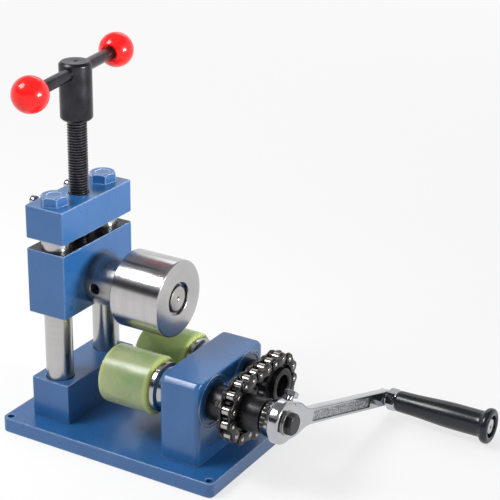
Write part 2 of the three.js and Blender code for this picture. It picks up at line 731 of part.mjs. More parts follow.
// One end or a whole link plate between two pins, in the link's own plane, from inner to outer face
function plate(height, from, to, pinEnds) {
  const outline = [];
  const radius = height / 2;
  const waist = radius * plateWaist;
  for (let i = 0; i <= plateEndSteps; i += 1) {
    const angle = Math.PI / 2 + (Math.PI * i) / plateEndSteps;
    if (pinEnds[0]) outline.push([radius * Math.cos(angle), radius * Math.sin(angle)]);
  }
  const cutBefore = chainPitch / 2 - joggleHalf;
  const cutAfter = chainPitch / 2 + joggleHalf;
  if (!pinEnds[0]) outline.push([cutBefore, waist], [cutBefore, -waist]);
  if (pinEnds[0] && pinEnds[1]) outline.push([chainPitch / 2, -waist]);
  for (let i = 0; i <= plateEndSteps; i += 1) {
    const angle = -Math.PI / 2 + (Math.PI * i) / plateEndSteps;
    if (pinEnds[1]) outline.push([chainPitch + radius * Math.cos(angle), radius * Math.sin(angle)]);
  }
  if (!pinEnds[1]) outline.push([cutAfter, -waist], [cutAfter, waist]);
  if (pinEnds[0] && pinEnds[1]) outline.push([chainPitch / 2, waist]);
  return prism(AXIS_X, outline, from, to);
}

const innerFace = toothWidth / 2 + seatGap;
const innerPlateOut = innerFace + chainPlateThickness;
const outerPlateIn = innerPlateOut + seatGap;
const outerPlateOut = outerPlateIn + chainPlateThickness;
const pinHalfLength = outerPlateOut + 0.6;

function chainRoller(at) {
  const roller = rod(AXIS_X, chainRollerRadius, -innerFace - 0.2, innerFace + 0.2, chainFacets);
  return moved(roller, 0, at, 0);
}

function pinHole(at) {
  const reach = 2 * outerPlateOut;
  return moved(rod(AXIS_X, chainPinRadius + runningGap, -reach, reach, chainFacets), 0, at, 0);
}

function chainPin(at) {
  return moved(rod(AXIS_X, chainPinRadius, -pinHalfLength, pinHalfLength, pinFacets), 0, at, 0);
}

function outerLink() {
  const plates = plate(outerPlateHeight, outerPlateIn, outerPlateOut, [true, true])
    .add(plate(outerPlateHeight, -outerPlateOut, -outerPlateIn, [true, true]));
  return plates.add(chainPin(0)).add(chainPin(chainPitch));
}

function innerLink() {
  const plates = plate(innerPlateHeight, innerFace, innerPlateOut, [true, true])
    .add(plate(innerPlateHeight, -innerPlateOut, -innerFace, [true, true]));
  const body = plates.add(chainRoller(0)).add(chainRoller(chainPitch));
  return body.subtract(pinHole(0)).subtract(pinHole(chainPitch));
}

// A cranked link: wide with a pin at its first end, narrow with a roller at its other end
function crankedLink() {
  let body = chainRoller(chainPitch);
  for (const side of [-1, 1]) {
    const narrow = [side * innerFace, side * innerPlateOut].sort((a, b) => a - b);
    const wide = [side * outerPlateIn, side * outerPlateOut].sort((a, b) => a - b);
    const joggle = [side * innerFace, side * outerPlateOut].sort((a, b) => a - b);
    const half = chainPitch / 2;
    const height = (outerPlateHeight / 2) * plateWaist;
    body = body.add(plate(innerPlateHeight, narrow[0], narrow[1], [false, true]));
    body = body.add(plate(outerPlateHeight, wide[0], wide[1], [true, false]));
    body = body.add(box([joggle[0], half - joggleHalf, -height], [joggle[1], half + joggleHalf, height]));
  }
  return body.subtract(pinHole(chainPitch)).add(chainPin(0));
}

function makeChain() {
  const pins = chainPins();
  const hasCranked = pins.length % 2 === 1;
  const inner = innerLink();
  const outer = outerLink();
  pins.forEach(([y, z], i) => {
    const next = pins[(i + 1) % pins.length];
    const isLast = i === pins.length - 1;
    const number = String(i + 1).padStart(2, "0");
    let link = i % 2 === 0 ? outer : inner;
    let kind = i % 2 === 0 ? "outer" : "inner";
    if (isLast && hasCranked) {
      link = crankedLink();
      kind = "cranked";
    }
    const mesh = addPiece(machine, "chain_link_" + number + "_" + kind, link, darkSteel);
    mesh.position.set(chainX, y, z);
    mesh.rotation.x = Math.atan2(next[1] - z, next[0] - y);
  });
}

// Crank with its hub bolt, clamp screw, grip spindle and grip
function makeCrank(group) {
  const arm = new THREE.Group();
  arm.rotation.x = -crankDrop;
  group.add(arm);
  const eyeBack = crankHubFront - crankEyeThickness;
  let body = turned(AXIS_X, [
    [crankHubBack, 0], [crankHubBack, crankHubRadius], [eyeBack + 1, crankHubFrontRadius], [eyeBack + 1, 0],
  ], fineFacets);
  body = body.add(turned(AXIS_X, [
    [eyeBack, 0], [eyeBack, crankEyeRadius - 1.5], [eyeBack + 1.5, crankEyeRadius],
    [crankHubFront - 1.5, crankEyeRadius], [crankHubFront, crankEyeRadius - 1.5], [crankHubFront, 0],
  ], fineFacets));

  // The arm's outline in its own length and width, and its lean as a shear along the length
  const endRadius = crankArmWidth / 2;
  const shoulder = crankShoulderWidth / 2;
  const root = crankEyeRadius - 2;
  const outline = [[0, -root], [crankShoulderLength, -shoulder], [crankNeckLength, -endRadius]];
  const endSteps = 8;
  for (let i = 0; i <= endSteps; i += 1) {
    const angle = -Math.PI / 2 + (Math.PI * i) / endSteps;
    outline.push([crankRadius + endRadius * Math.cos(angle), endRadius * Math.sin(angle)]);
  }
  outline.push([crankNeckLength, endRadius], [crankShoulderLength, shoulder], [0, root]);
  const half = crankArmThickness / 2;
  let bar = prism(AXIS_X, outline, -half, half);
  const panelStart = crankNeckLength + crankPanelMargin;
  const panelEnd = crankRadius - crankPanelEndInset;
  const panelHalf = endRadius - crankPanelMargin;
  for (const side of [-1, 1]) {
    const faces = [side * (half - crankPanelDepth), side * (half + 1)].sort((a, b) => a - b);
    bar = bar.subtract(box([faces[0], panelStart, -panelHalf], [faces[1], panelEnd, panelHalf]));
  }
  bar = bar.transform([1, 0, 0, 0, armLean, 1, 0, 0, 0, 0, 1, 0, armRootX, 0, 0, 1]);
  body = body.add(bar);
  const boreEnd = crankShaftFront + seatGap;
  body = body.subtract(rod(AXIS_X, shaftRadius + seatGap, crankHubBack - 1, boreEnd, fineFacets));
  const boltHole = rod(AXIS_X, crankBoltShankRadius + seatGap, eyeBack, crankHubFront + 1, smallFacets);
  body = body.subtract(boltHole);
  const tip = rod(AXIS_X, endRadius, armEndX - armTipHalf, armEndX + armTipHalf, mediumFacets);
  body = body.add(moved(tip, 0, crankRadius, 0));
  const holeBack = armEndX - 2 * armTipHalf;
  const holeFront = armEndX + 2 * armTipHalf;
  const spindleHole = rod(AXIS_X, spindleRadius + seatGap, holeBack, holeFront, smallFacets);
  body = body.subtract(moved(spindleHole, 0, crankRadius, 0));
  const clampX = eyeBack + clampBoltInset;
  const clampHole = rod(AXIS_Z, clampBoltRadius + seatGap, 0, 2 * crankEyeRadius, smallFacets);
  const leaning = clampHole.rotate([-THREE.MathUtils.radToDeg(clampBoltLean), 0, 0]);
  body = body.subtract(moved(leaning, clampX, 0, 0));
  addPiece(arm, "crank_arm", body, chrome);

  const washerFront = crankHubFront + crankWasherThickness;
  const boltEnd = crankHubFront - crankBoltShankLength;
  const headFront = washerFront + crankBoltHeadHeight;
  let bolt = rod(AXIS_X, crankBoltShankRadius, boltEnd, washerFront + 1, smallFacets);
  bolt = bolt.add(rod(AXIS_X, crankWasherRadius, crankHubFront, washerFront, mediumFacets));
  const head = prism(AXIS_X, polygon(6, crankBoltRadius, 0.2), washerFront - 0.1, headFront);
  addPiece(arm, "crank_bolt", bolt.add(head), darkSteel);

  const clampTop = crankEyeRadius + clampBoltReach;
  const clampBottom = shaftRadius + runningGap + seatGap;
  let clamp = rod(AXIS_Z, clampBoltRadius, clampBottom, clampTop + 1, smallFacets);
  const clampHeadTop = clampTop + clampBoltHeadHeight;
  clamp = clamp.add(prism(AXIS_Z, polygon(6, clampBoltHeadRadius, 0.4), clampTop, clampHeadTop));
  const clampMesh = addPiece(arm, "crank_clamp_screw", clamp, chrome);
  clampMesh.position.x = clampX;
  clampMesh.rotation.x = -clampBoltLean;

  const grip = addGroup(arm, 0, crankRadius, 0);
  const armBack = armEndX - armTipHalf;
  const armFront = armEndX + armTipHalf;
  const nutFront = armFront + spindleNutThickness;
  const gripBack = nutFront + seatGap;
  const gripFront = gripBack + gripLength;
  const spindleFront = gripFront - gripRecessDepth + seatGap;
  const spindle = turned(AXIS_X, [
    [armBack, 0], [armBack, spindleRadius], [spindleFront, spindleRadius],
    [spindleFront, spindleHeadRadius], [spindleFront + spindleHeadThickness, spindleHeadRadius],
    [spindleFront + spindleHeadThickness, 0],
  ], mediumFacets);
  addPiece(grip, "grip_spindle", spindle, chrome);
  let nut = prism(AXIS_X, polygon(6, spindleNutRadius, 0.3), armFront, nutFront);
  nut = nut.subtract(rod(AXIS_X, spindleRadius + seatGap, armFront - 1, nutFront + 1, smallFacets));
  addPiece(grip, "spindle_nut", nut, chrome);
  const gripBore = spindleRadius + runningGap;
  const handle = turned(AXIS_X, [
    [gripBack, gripBore], [gripBack, gripNeckRadius - 1], [gripBack + 1, gripNeckRadius],
    [gripBack + gripLength * 0.55, gripBodyRadius], [gripFront - gripFlangeLength * 2, gripBodyRadius],
    [gripFront - gripFlangeLength, gripFlangeRadius], [gripFront - 1, gripFlangeRadius],
    [gripFront, gripFlangeRadius - 1], [gripFront, gripRecessRadius],
    [gripFront - gripRecessDepth, gripRecessRadius], [gripFront - gripRecessDepth, gripBore],
    [gripBack, gripBore],
  ], mediumFacets);
  addPiece(grip, "grip", handle, blackRubber);
}

makeBasePlate();
makeColumnFrame();
makePressureScrew();
makeCarriage();
makeBearingBlock();
const driveGroup = makeLowerRoller(-1, "drive", driveHubEnd, crankShaftFront);
makeLowerRoller(1, "driven", drivenHubEnd, drivenHubEnd - drivenShaftSetback);
makeChain();
makeCrank(driveGroup);

export default machine;
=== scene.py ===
"""Looks of the hand-cranked ring bending machine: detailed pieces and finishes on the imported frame."""
import math

import bmesh
import bpy
from mathutils import Matrix, Vector
from mathutils.geometry import tessellate_polygon


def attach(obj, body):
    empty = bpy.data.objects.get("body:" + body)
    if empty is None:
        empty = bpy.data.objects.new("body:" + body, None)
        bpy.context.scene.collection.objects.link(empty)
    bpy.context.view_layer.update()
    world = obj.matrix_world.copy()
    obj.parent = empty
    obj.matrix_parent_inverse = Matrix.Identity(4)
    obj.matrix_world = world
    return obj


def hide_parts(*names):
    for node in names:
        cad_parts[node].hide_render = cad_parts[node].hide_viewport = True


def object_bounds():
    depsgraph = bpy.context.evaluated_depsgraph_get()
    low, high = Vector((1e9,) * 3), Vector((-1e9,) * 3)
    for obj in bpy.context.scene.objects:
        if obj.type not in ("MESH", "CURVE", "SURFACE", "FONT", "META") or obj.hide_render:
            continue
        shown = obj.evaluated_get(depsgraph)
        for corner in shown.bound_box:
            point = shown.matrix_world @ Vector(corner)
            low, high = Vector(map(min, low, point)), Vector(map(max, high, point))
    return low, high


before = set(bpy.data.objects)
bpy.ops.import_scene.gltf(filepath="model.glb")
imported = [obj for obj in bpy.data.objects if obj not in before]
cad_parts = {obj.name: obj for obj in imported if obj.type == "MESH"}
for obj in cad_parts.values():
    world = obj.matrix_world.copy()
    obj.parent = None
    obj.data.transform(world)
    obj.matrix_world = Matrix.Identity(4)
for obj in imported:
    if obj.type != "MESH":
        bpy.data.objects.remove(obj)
cad_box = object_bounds()

MM = 0.001
FINE = 96
MEDIUM = 64
SMALL = 32

# Sizes in millimetres, matching the CAD solids
PLATE = (225, 143, 14)
PLATE_HOLE_RADIUS = 3.25
PLATE_HOLE_INSET = 6
COLUMN_X = -71.6
BLOCK = (40, 103)
COLUMN_BLOCK_TOP = 52.7
SLIDING_BLOCK = (117.4, 178.2)
TOP_BLOCK = (187.9, 218.5)
COLUMN_RADIUS = 12.5
COLUMN_Y = 35.7
COLUMN_TOP = 199.9
BOLT_HOLE_END = 183.6
BOLT_RADIUS = 6.8
BOLT_HEAD_CORNER = 12.6
BOLT_HEAD_HEIGHT = 8.8
SEAT_GAP = 0.3
RUNNING_GAP = 0.35
PIN_Y = 6.4
PIN_DEPTH = 13
PIN_RADIUS = 2
PIN_END = 10
CLAMP_SCREW_Y = 24.8
CLAMP_SCREW_Z = 212
CLAMP_SCREW_RADIUS = 2.5
CLAMP_SCREW_END = 10
SCREW_HUB = (285.9, 338.1)
SCREW_HUB_RADIUS = 14.5
THREAD = {"radius": 9, "root": 7.6, "pitch": 2.5}
NECK_RADIUS = 6.5
NECK_DEPTH = 26
NECK_GROOVE = 4.1
STUB_TOP = 319.2
BAR_Z = 329.1
BAR_RADIUS = 5.5
BAR_TURN = math.radians(8.7)
KNOB_Y = 78
KNOB_RADIUS = 16
COLUMN_PLACE = (COLUMN_X, 0, 0)
UPPER_AXIS = (0, 0, 139.9)
UPPER_ROLLER = (-15.95, 33.55)
UPPER_ROLLER_RADIUS = 35
UPPER_SHAFT = 11.3
COLLAR = (-51.6, -16.3)
COLLAR_RADIUS = 22.5
SET_SCREW_X = -40.6
SET_SCREW_RADIUS = 4.6
CIRCLIP_SEAT = 10
CIRCLIP_RADIUS = 12.9
LOWER_Z = 67.4
AXIS_Y = 28
SLEEVE = (-16.95, 34.55)
SLEEVE_RADIUS = 26.5
SLEEVE_SEAT = 19
CORE = (-18.55, 39.05, 48.25)
FLANGE_RADIUS = 22.5
SHAFT_RADIUS = 10
SHAFT_BORE = SHAFT_RADIUS + SEAT_GAP
DRIVE_SHAFT_END = 156.35
DRIVEN_SHAFT_END = 113.55
BEARING_BLOCK = (48.55, 88.05)
BEARING_BLOCK_SIDE = 54.4
BEARING_BLOCK_TOP = 92.9
BEARING_RADIUS = 23.5
BEARING_DEPTH = 14
BEARING_BORE = SHAFT_RADIUS + RUNNING_GAP
CHAIN_X = 115.05
HUB_RADIUS = 16
GRUB_X = 98
GRUB_TURN = math.radians(62)
DRIVE_HUB_END = 140.05
DRIVEN_HUB_END = 124.05
CRANK_HUB = (140.35, 149.35, 160.35)
CRANK_BOLT_RADIUS = 5
CRANK_BOLT_REACH = 22
CRANK_HEAD_CORNER = 9.6
CRANK_HEAD_HEIGHT = 6
WASHER_RADIUS = 10.8
WASHER_THICKNESS = 1.6
CRANK_DROP = math.radians(16.1)
CRANK_RADIUS = 178
CRANK_OFFSET = 15
ARM_ROOT_X = 154.85
PANEL = (43.6, 144)
PANEL_HEIGHT = 9.8
TIP_RADIUS = 7.5
EYE_RADIUS = 19.5
CLAMP_X = 154.35
CLAMP_LEAN = math.radians(25)
CLAMP_THREAD = {"radius": 3, "root": 2.6, "pitch": 1}
NUT = (174.68, 183.98)
SPINDLE = (165.02, 273.58, 276.58)
SPINDLE_RADIUS = 4
GRIP = (184.28, 278.28)
CHAIN_PITCH = 12.7
TEETH = 12
TOOTH_WIDTH = 7
TOOTH_STEP = 2 * math.pi / TEETH
PITCH_RADIUS = CHAIN_PITCH / (2 * math.sin(TOOTH_STEP / 2))
OUTER_PLATE = 10.4
INNER_PLATE = 11.4
ENDS = ((-1, "front"), (1, "rear"))


def local(axis, along, u, v):
    """A point in millimetres: along the named axis, then the two others in right-handed order."""
    if axis == "X":
        return Vector((along, u, v))
    if axis == "Y":
        return Vector((v, along, u))
    return Vector((u, v, along))


def mesh_of(points, faces, sharp=32, merge=True):
    mesh = bpy.data.meshes.new("form")
    mesh.from_pydata([point * MM for point in points], [], faces)
    form = bmesh.new()
    form.from_mesh(mesh)
    if merge:
        bmesh.ops.remove_doubles(form, verts=form.verts, dist=1e-7)
    bmesh.ops.recalc_face_normals(form, faces=form.faces)
    form.to_mesh(mesh)
    form.free()
    return shaded(mesh, sharp)


def shaded(mesh, sharp=32):
    mesh.shade_smooth()
    mesh.set_sharp_from_angle(angle=math.radians(sharp))
    return mesh


def softened(points, steps=3, closed=False):
    """Rounds the corners of an outline: a point is (a, b) or (a, b, reach of its rounding)."""
    result = []
    count = len(points)
    for i, point in enumerate(points):
        here = Vector(point[:2])
        at_end = not closed and i in (0, count - 1)
        if len(point) < 3 or at_end:
            result.append(here)
            continue
        before = (Vector(points[i - 1][:2]) - here).normalized() * point[2]
        after = (Vector(points[(i + 1) % count][:2]) - here).normalized() * point[2]
        for k in range(steps + 1):
            t = k / steps
            result.append(here + before * (1 - t) ** 2 + after * t ** 2)
    return result


def lathe(axis, profile, segments=MEDIUM, steps=3):
    """Turns a profile of (place, radius, corner reach). One that ends where it starts gives a tube."""
    line = softened(profile, steps)
    is_tube = (line[0] - line[-1]).length < 1e-9
    if is_tube:
        line = line[:-1]
    points = []
    loops = []
    for along, radius in line:
        if radius < 1e-6:
            loops.append([len(points)] * segments)
            points.append(local(axis, along, 0, 0))
            continue
        loops.append([len(points) + k for k in range(segments)])
        points += [local(axis, along, u, v) for u, v in polygon(segments, radius)]
    faces = []
    pairs = list(zip(loops, loops[1:]))
    if is_tube:
        pairs.append((loops[-1], loops[0]))
    for first, second in pairs:
        for k in range(segments):
            after = (k + 1) % segments
            corners = [first[k], first[after], second[after], second[k]]
            face = [c for i, c in enumerate(corners) if c != corners[i - 1]]
            if len(face) > 2:
                faces.append(face)
    return mesh_of(points, faces)


def rod(axis, radius, low, high, edge=0.4, segments=MEDIUM):
    return lathe(axis, [(low, 0), (low, radius, edge), (high, radius, edge), (high, 0)], segments)


def tube(axis, inner, outer, low, high, edge=0.4, segments=MEDIUM):
    profile = [(low, inner), (low, outer, edge), (high, outer, edge), (high, inner, edge), (low, inner)]
    return lathe(axis, profile, segments)


def inset(outline, distance):
    moved = []
    count = len(outline)
    for i in range(count):
        before = (outline[i] - outline[i - 1]).normalized()
        after = (outline[(i + 1) % count] - outline[i]).normalized()
        side_a = Vector((-before.y, before.x))
        side_b = Vector((-after.y, after.x))
        moved.append(outline[i] + (side_a + side_b) * (distance / (1 + side_a.dot(side_b))))
    return moved


def prism(axis, outlines, low, high, edge, steps=3):
    """A plate with rounded rims: its edge runs counter-clockwise, then any holes clockwise."""
    levels = []
    for k in range(steps + 1):
        turn = math.pi / 2 * k / steps
        levels.append((edge * (1 - math.sin(turn)), edge * (1 - math.cos(turn))))
    heights = [(back, low + rise) for back, rise in levels]
    heights += [(back, high - rise) for back, rise in reversed(levels)]
    points = []
    faces = []
    caps = [[], []]
    cap_index = [[], []]
    for outline in outlines:
        count = len(outline)
        rows = []
        for back, height in heights:
            row = inset(outline, back)
            rows.append([len(points) + i for i in range(count)])
            points += [local(axis, height, u, v) for u, v in row]
        for below, above in zip(rows, rows[1:]):
            for i in range(count):
                after = (i + 1) % count
                faces.append([below[i], below[after], above[after], above[i]])
        rim = [Vector((u, v, 0)) for u, v in inset(outline, edge)]
        for end, row in ((0, rows[0]), (1, rows[-1])):
            caps[end].append(rim)
            cap_index[end] += row
    for end in (0, 1):
        for triangle in tessellate_polygon(caps[end]):
            faces.append([cap_index[end][i] for i in triangle])
    return mesh_of(points, faces)


def stacked(rows, centre):
    """A solid of level rounded rectangles: each row is a height, two half widths and the corner's reach."""
    points = []
    for height, u, v, corner in rows:
        outline = rectangle(2 * u, 2 * v, corner, centre)
        points += [Vector((point.x, point.y, height)) for point in outline]
    count = len(outline)
    faces = [list(range(count)), list(range(len(points) - count, len(points)))]
    for row in range(len(rows) - 1):
        for k in range(count):
            here = row * count
            after = here + (k + 1) % count
            faces.append([here + k, after, after + count, here + k + count])
    return mesh_of(points, faces)


def polar(radius, angle, centre=(0, 0)):
    return Vector((centre[0] + radius * math.cos(angle), centre[1] + radius * math.sin(angle)))


def arc(radius, start, sweep, steps, centre=(0, 0)):
    """Points round a centre, with both ends of the sweep."""
    return [polar(radius, start + sweep * k / steps, centre) for k in range(steps + 1)]


def polygon(sides, radius, start=0.0):
    return arc(radius, start, 2 * math.pi, sides)[:-1]


def hole(radius, centre=(0, 0), segments=MEDIUM):
    """A circle that runs clockwise, as a prism wants its holes."""
    return arc(radius, 0, -2 * math.pi, segments, centre)[:-1]


def rectangle(width, height, corner, centre=(0, 0), steps=6):
    u, v = width / 2, height / 2
    corners = [(-u, -v, corner), (u, -v, corner), (u, v, corner), (-u, v, corner)]
    return [point + Vector(centre) for point in softened(corners, steps, closed=True)]


def placed(name, data):
    made = bpy.data.objects.new(name, data)
    bpy.context.scene.collection.objects.link(made)
    return made


def combined(first, second, operation="DIFFERENCE"):
    """One mesh cut from, joined to or kept inside another."""
    target = placed("target", first)
    cutter = placed("cutter", second)
    modifier = target.modifiers.new("combine", "BOOLEAN")
    modifier.operation = operation
    modifier.object = cutter
    modifier.solver = "EXACT"
    bpy.context.view_layer.update()
    result = bpy.data.meshes.new_from_object(target.evaluated_get(bpy.context.evaluated_depsgraph_get()))
    bpy.data.objects.remove(target)
    bpy.data.objects.remove(cutter)
    result.materials.clear()
    return shaded(result)


def joined(parts):
    """Meshes laid into one, each with the number of its finish."""
    form = bmesh.new()
    for mesh, finish in parts:
        before = len(form.faces)
        form.from_mesh(mesh)
        form.faces.ensure_lookup_table()
        for face in form.faces[before:]:
            face.material_index = finish
    mesh = bpy.data.meshes.new("form")
    form.to_mesh(mesh)
    form.free()
    return mesh


def shifted(mesh, x=0, y=0, z=0, turn=None):
    """A copy of the mesh, turned and then moved by millimetres."""
    copy = mesh.copy()
    matrix = Matrix.Translation(Vector((x, y, z)) * MM)
    if turn is not None:
        matrix = matrix @ turn
    copy.transform(matrix)
    return copy


def hex_head(axis, corner, low, high, start=0.0, chamfer=1.2, both=False):
    """A hexagon whose corners are turned off at the outer end, or at both ends."""
    head = prism(axis, [polygon(6, corner, start)], low, high, 0.15, 1)
    flat = corner * math.cos(math.pi / 6)
    fall = chamfer if both else 0.2
    near = (low, flat) if both else (low, corner + 1)
    wide = corner + 0.2
    profile = [(low, 0), near, (low + fall, wide), (high - chamfer, wide), (high, flat), (high, 0)]
    return combined(head, lathe(axis, profile), "INTERSECT")


def helix(axis, low, high, radius, root, pitch, steps=40):
    """A screw thread from one end to the other, with a core inside it."""
    shape = [(0.0, root), (0.12, root), (0.44, radius), (0.56, radius), (0.88, root)]
    turns = math.ceil((high - low) / pitch)
    points = []
    faces = []
    width = len(shape)
    total = turns * steps
    for i in range(total + 1):
        angle = 2 * math.pi * i / steps
        for part, out in shape:
            along = low + pitch * (i / steps + part - 1)
            along = min(max(along, low), high)
            points.append(local(axis, along, out * math.cos(angle), out * math.sin(angle)))
    for i in range(total):
        for k in range(width - 1):
            here = i * width + k
            faces.append([here, here + width, here + width + 1, here + 1])
        here = i * width + width - 1
        following = (i + steps) * width
        if i + steps + 1 <= total:
            faces.append([here, here + width, following + width, following])
    turns_of_thread = mesh_of(points, faces, 20, merge=False)
    return joined([(turns_of_thread, 0), (rod(axis, root + 0.05, low, high, 0.3, SMALL), 0)])


# Finishes
def new_material(name):
    material = bpy.data.materials.new(name)
    material.use_nodes = True
    tree = material.node_tree
    return material, tree, tree.nodes["Principled BSDF"]


def feed(tree, socket, value):
    """Links another node's output into a socket, or sets the socket's own value."""
    if isinstance(value, bpy.types.NodeSocket):
        tree.links.new(value, socket)
    else:
        socket.default_value = value


def set_sockets(tree, node, **sockets):
    """Feeds a node's sockets by name, spaces written as underscores."""
    for key, value in sockets.items():
        wanted = key.replace("_", " ").lower()
        feed(tree, next(s for s in node.inputs if s.name.lower() == wanted and s.enabled), value)


def add(tree, kind, settings=None, **sockets):
    made = tree.nodes.new("ShaderNode" + kind)
    for key, value in (settings or {}).items():
        setattr(made, key, value)
    set_sockets(tree, made, **sockets)
    return made


def operand(tree, operation, first, second=0.0):
    made = add(tree, "Math", {"operation": operation})
    for socket, value in zip(made.inputs, (first, second)):
        feed(tree, socket, value)
    return made.outputs[0]


def mapped(tree, value, low, high, new_low, new_high):
    made = add(
        tree, "MapRange", None, Value=value, From_Min=low, From_Max=high, To_Min=new_low, To_Max=new_high)
    return made.outputs["Result"]


def blended(tree, factor, first, second):
    made = add(tree, "Mix", {"data_type": "RGBA"})
    feed(tree, made.inputs[0], factor)
    for socket, value in ((made.inputs[6], first), (made.inputs[7], second)):
        feed(tree, socket, (*value, 1) if isinstance(value, tuple) else value)
    return made.outputs[2]


def object_place(tree):
    return add(tree, "TexCoord").outputs["Object"]


def noise(tree, place, scale, detail=3.0, roughness=0.55):
    made = add(tree, "TexNoise", None, Vector=place, Scale=scale, Detail=detail, Roughness=roughness)
    return made.outputs["Fac"]


def ranged(tree, noise_value, low, high):
    """A noise's usual spread, brought to the range given."""
    return mapped(tree, noise_value, 0.3, 0.7, low, high)


def stretched(tree, place, scale):
    return add(tree, "Mapping", None, Vector=place, Scale=scale).outputs["Vector"]


def turned_place(tree, axis):
    """Object coordinates folded round an axis: place along it, and distance from it."""
    parts = add(tree, "SeparateXYZ", None, Vector=object_place(tree)).outputs
    along = parts[axis]
    others = [parts[name] for name in "XYZ" if name != axis]
    squares = [operand(tree, "MULTIPLY", other, other) for other in others]
    radius = operand(tree, "SQRT", operand(tree, "ADD", *squares))
    return add(tree, "CombineXYZ", None, X=along, Y=radius, Z=0.0).outputs["Vector"]


def bumped(tree, height, distance, strength):
    return add(tree, "Bump", None, Height=height, Distance=distance, Strength=strength).outputs["Normal"]


def edge_mask(tree, radius, low, high):
    """1 on an edge and 0 on a face, from how a rounded normal leaves the true one."""
    rounded = add(tree, "Bevel", {"samples": 4}, Radius=radius).outputs["Normal"]
    true = add(tree, "NewGeometry").outputs["Normal"]
    made = add(tree, "VectorMath", {"operation": "DOT_PRODUCT"})
    tree.links.new(rounded, made.inputs[0])
    tree.links.new(true, made.inputs[1])
    return mapped(tree, made.outputs["Value"], high, low, 0.0, 1.0)


def paint_material():
    material, tree, shader = new_material("blue_enamel")
    place = object_place(tree)
    cloud = ranged(tree, noise(tree, place, 22.0, 3.0), 0.0, 1.0)
    colour = blended(tree, cloud, (0.014, 0.098, 0.280), (0.020, 0.116, 0.325))
    # Edges, broken up by patches, blend towards a pale blue: a painted highlight along every edge.
    patches = mapped(tree, noise(tree, place, 160.0), 0.35, 0.7, 0.55, 1.0)
    wear_and_highlight = operand(tree, "MULTIPLY", edge_mask(tree, 0.0017, 0.82, 0.98), patches)
    colour = blended(tree, wear_and_highlight, colour, (0.66, 0.78, 0.92))
    rough = ranged(tree, noise(tree, place, 60.0, 5.0), 0.26, 0.38)
    bump = bumped(tree, noise(tree, place, 420.0, 1.0), 0.00002, 0.3)
    set_sockets(tree, shader, Base_Color=colour, Roughness=rough, Normal=bump)
    set_sockets(tree, shader, Coat_Weight=0.4, Coat_Roughness=0.12, Coat_Normal=bump)
    return material


def steel_material(name, axis, colour, low, high, grooves=1400.0, aniso=0.55, spots=0.0):
    """Turned or ground steel, its marks running round the named axis."""
    material, tree, shader = new_material(name)
    folded = turned_place(tree, axis)
    streaks = noise(tree, stretched(tree, folded, (grooves, grooves, 1.0)), 1.0, 2.0)
    broad = noise(tree, stretched(tree, folded, (grooves / 9, grooves / 9, 1.0)), 1.0, 2.0)
    smudge = noise(tree, object_place(tree), 45.0, 4.0)
    shade = ranged(tree, broad, 0.95, 1.03)
    tint = blended(tree, mapped(tree, smudge, 0.35, 0.7, 0.0, 1.0), colour, tuple(c * 0.93 for c in colour))
    tinted = add(tree, "VectorMath", {"operation": "SCALE"}, Vector=tint, Scale=shade).outputs["Vector"]
    if spots:
        pits = mapped(tree, noise(tree, object_place(tree), 900.0, 2.0), 0.66, 0.74, 0.0, spots)
        tinted = blended(tree, pits, tinted, (0.12, 0.11, 0.10))
    uneven = ranged(tree, smudge, -0.008, 0.01)
    rough = operand(tree, "ADD", ranged(tree, streaks, low, high), uneven)
    tangent = add(tree, "Tangent", {"direction_type": "RADIAL", "axis": axis}).outputs["Tangent"]
    bump = bumped(tree, streaks, 0.000002, 0.2)
    set_sockets(tree, shader, Base_Color=tinted, Metallic=1.0, Roughness=rough, Normal=bump)
    set_sockets(tree, shader, Anisotropic=aniso, Anisotropic_Rotation=0.25, Tangent=tangent)
    return material


def black_material(name, axis, colour, low, high, wear_and_highlight_colour, wear_and_highlight_amount, crest=None):
    """Blackened steel, a little brighter on its edges, as wear and a painted highlight, and beyond the
    radius of a thread's crest, as a painted highlight.
    """
    material, tree, shader = new_material(name)
    place = object_place(tree)
    folded = turned_place(tree, axis)
    streaks = noise(tree, stretched(tree, folded, (900.0, 900.0, 1.0)), 1.0, 2.0)
    smudge = noise(tree, place, 90.0, 5.0)
    base = blended(tree, ranged(tree, smudge, 0.0, 1.0), colour, tuple(c * 1.7 for c in colour))
    patches = mapped(tree, noise(tree, place, 300.0, 3.0), 0.35, 0.65, 0.3, 1.0)
    mask = operand(tree, "MULTIPLY", edge_mask(tree, 0.0006, 0.75, 0.98), patches)
    mask = operand(tree, "MULTIPLY", mask, wear_and_highlight_amount)
    # Beyond the crest's radius the colour is painted lighter: a painted highlight on the thread's crests.
    if crest:
        radius = add(tree, "SeparateXYZ", None, Vector=folded).outputs["Y"]
        painted_crest_highlight = mapped(tree, radius, crest - 0.0006, crest, 0.0, wear_and_highlight_amount)
        mask = operand(tree, "MAXIMUM", mask, operand(tree, "MULTIPLY", painted_crest_highlight, patches))
    # Edges and crests blend towards the given grey: wear and a painted highlight on edges, a painted
    # highlight on crests.
    wear_and_highlight = blended(tree, mask, base, wear_and_highlight_colour)
    grain = operand(tree, "ADD", streaks, smudge)
    rough = mapped(tree, grain, 0.7, 1.3, low, high)
    bump = bumped(tree, grain, 0.00004, 0.4)
    set_sockets(tree, shader, Base_Color=wear_and_highlight, Metallic=0.85, Roughness=rough, Normal=bump)
    return material


def chrome_material():
    material, tree, shader = new_material("chrome")
    place = object_place(tree)
    rough = mapped(tree, noise(tree, place, 55.0, 5.0), 0.35, 0.7, 0.07, 0.17)
    cloud = ranged(tree, noise(tree, place, 18.0, 2.0), 0.0, 1.0)
    tint = blended(tree, cloud, (0.56, 0.57, 0.60), (0.44, 0.45, 0.48))
    bump = bumped(tree, noise(tree, place, 260.0, 2.0), 0.00006, 0.35)
    set_sockets(tree, shader, Base_Color=tint, Metallic=1.0, Roughness=rough, Normal=bump)
    return material


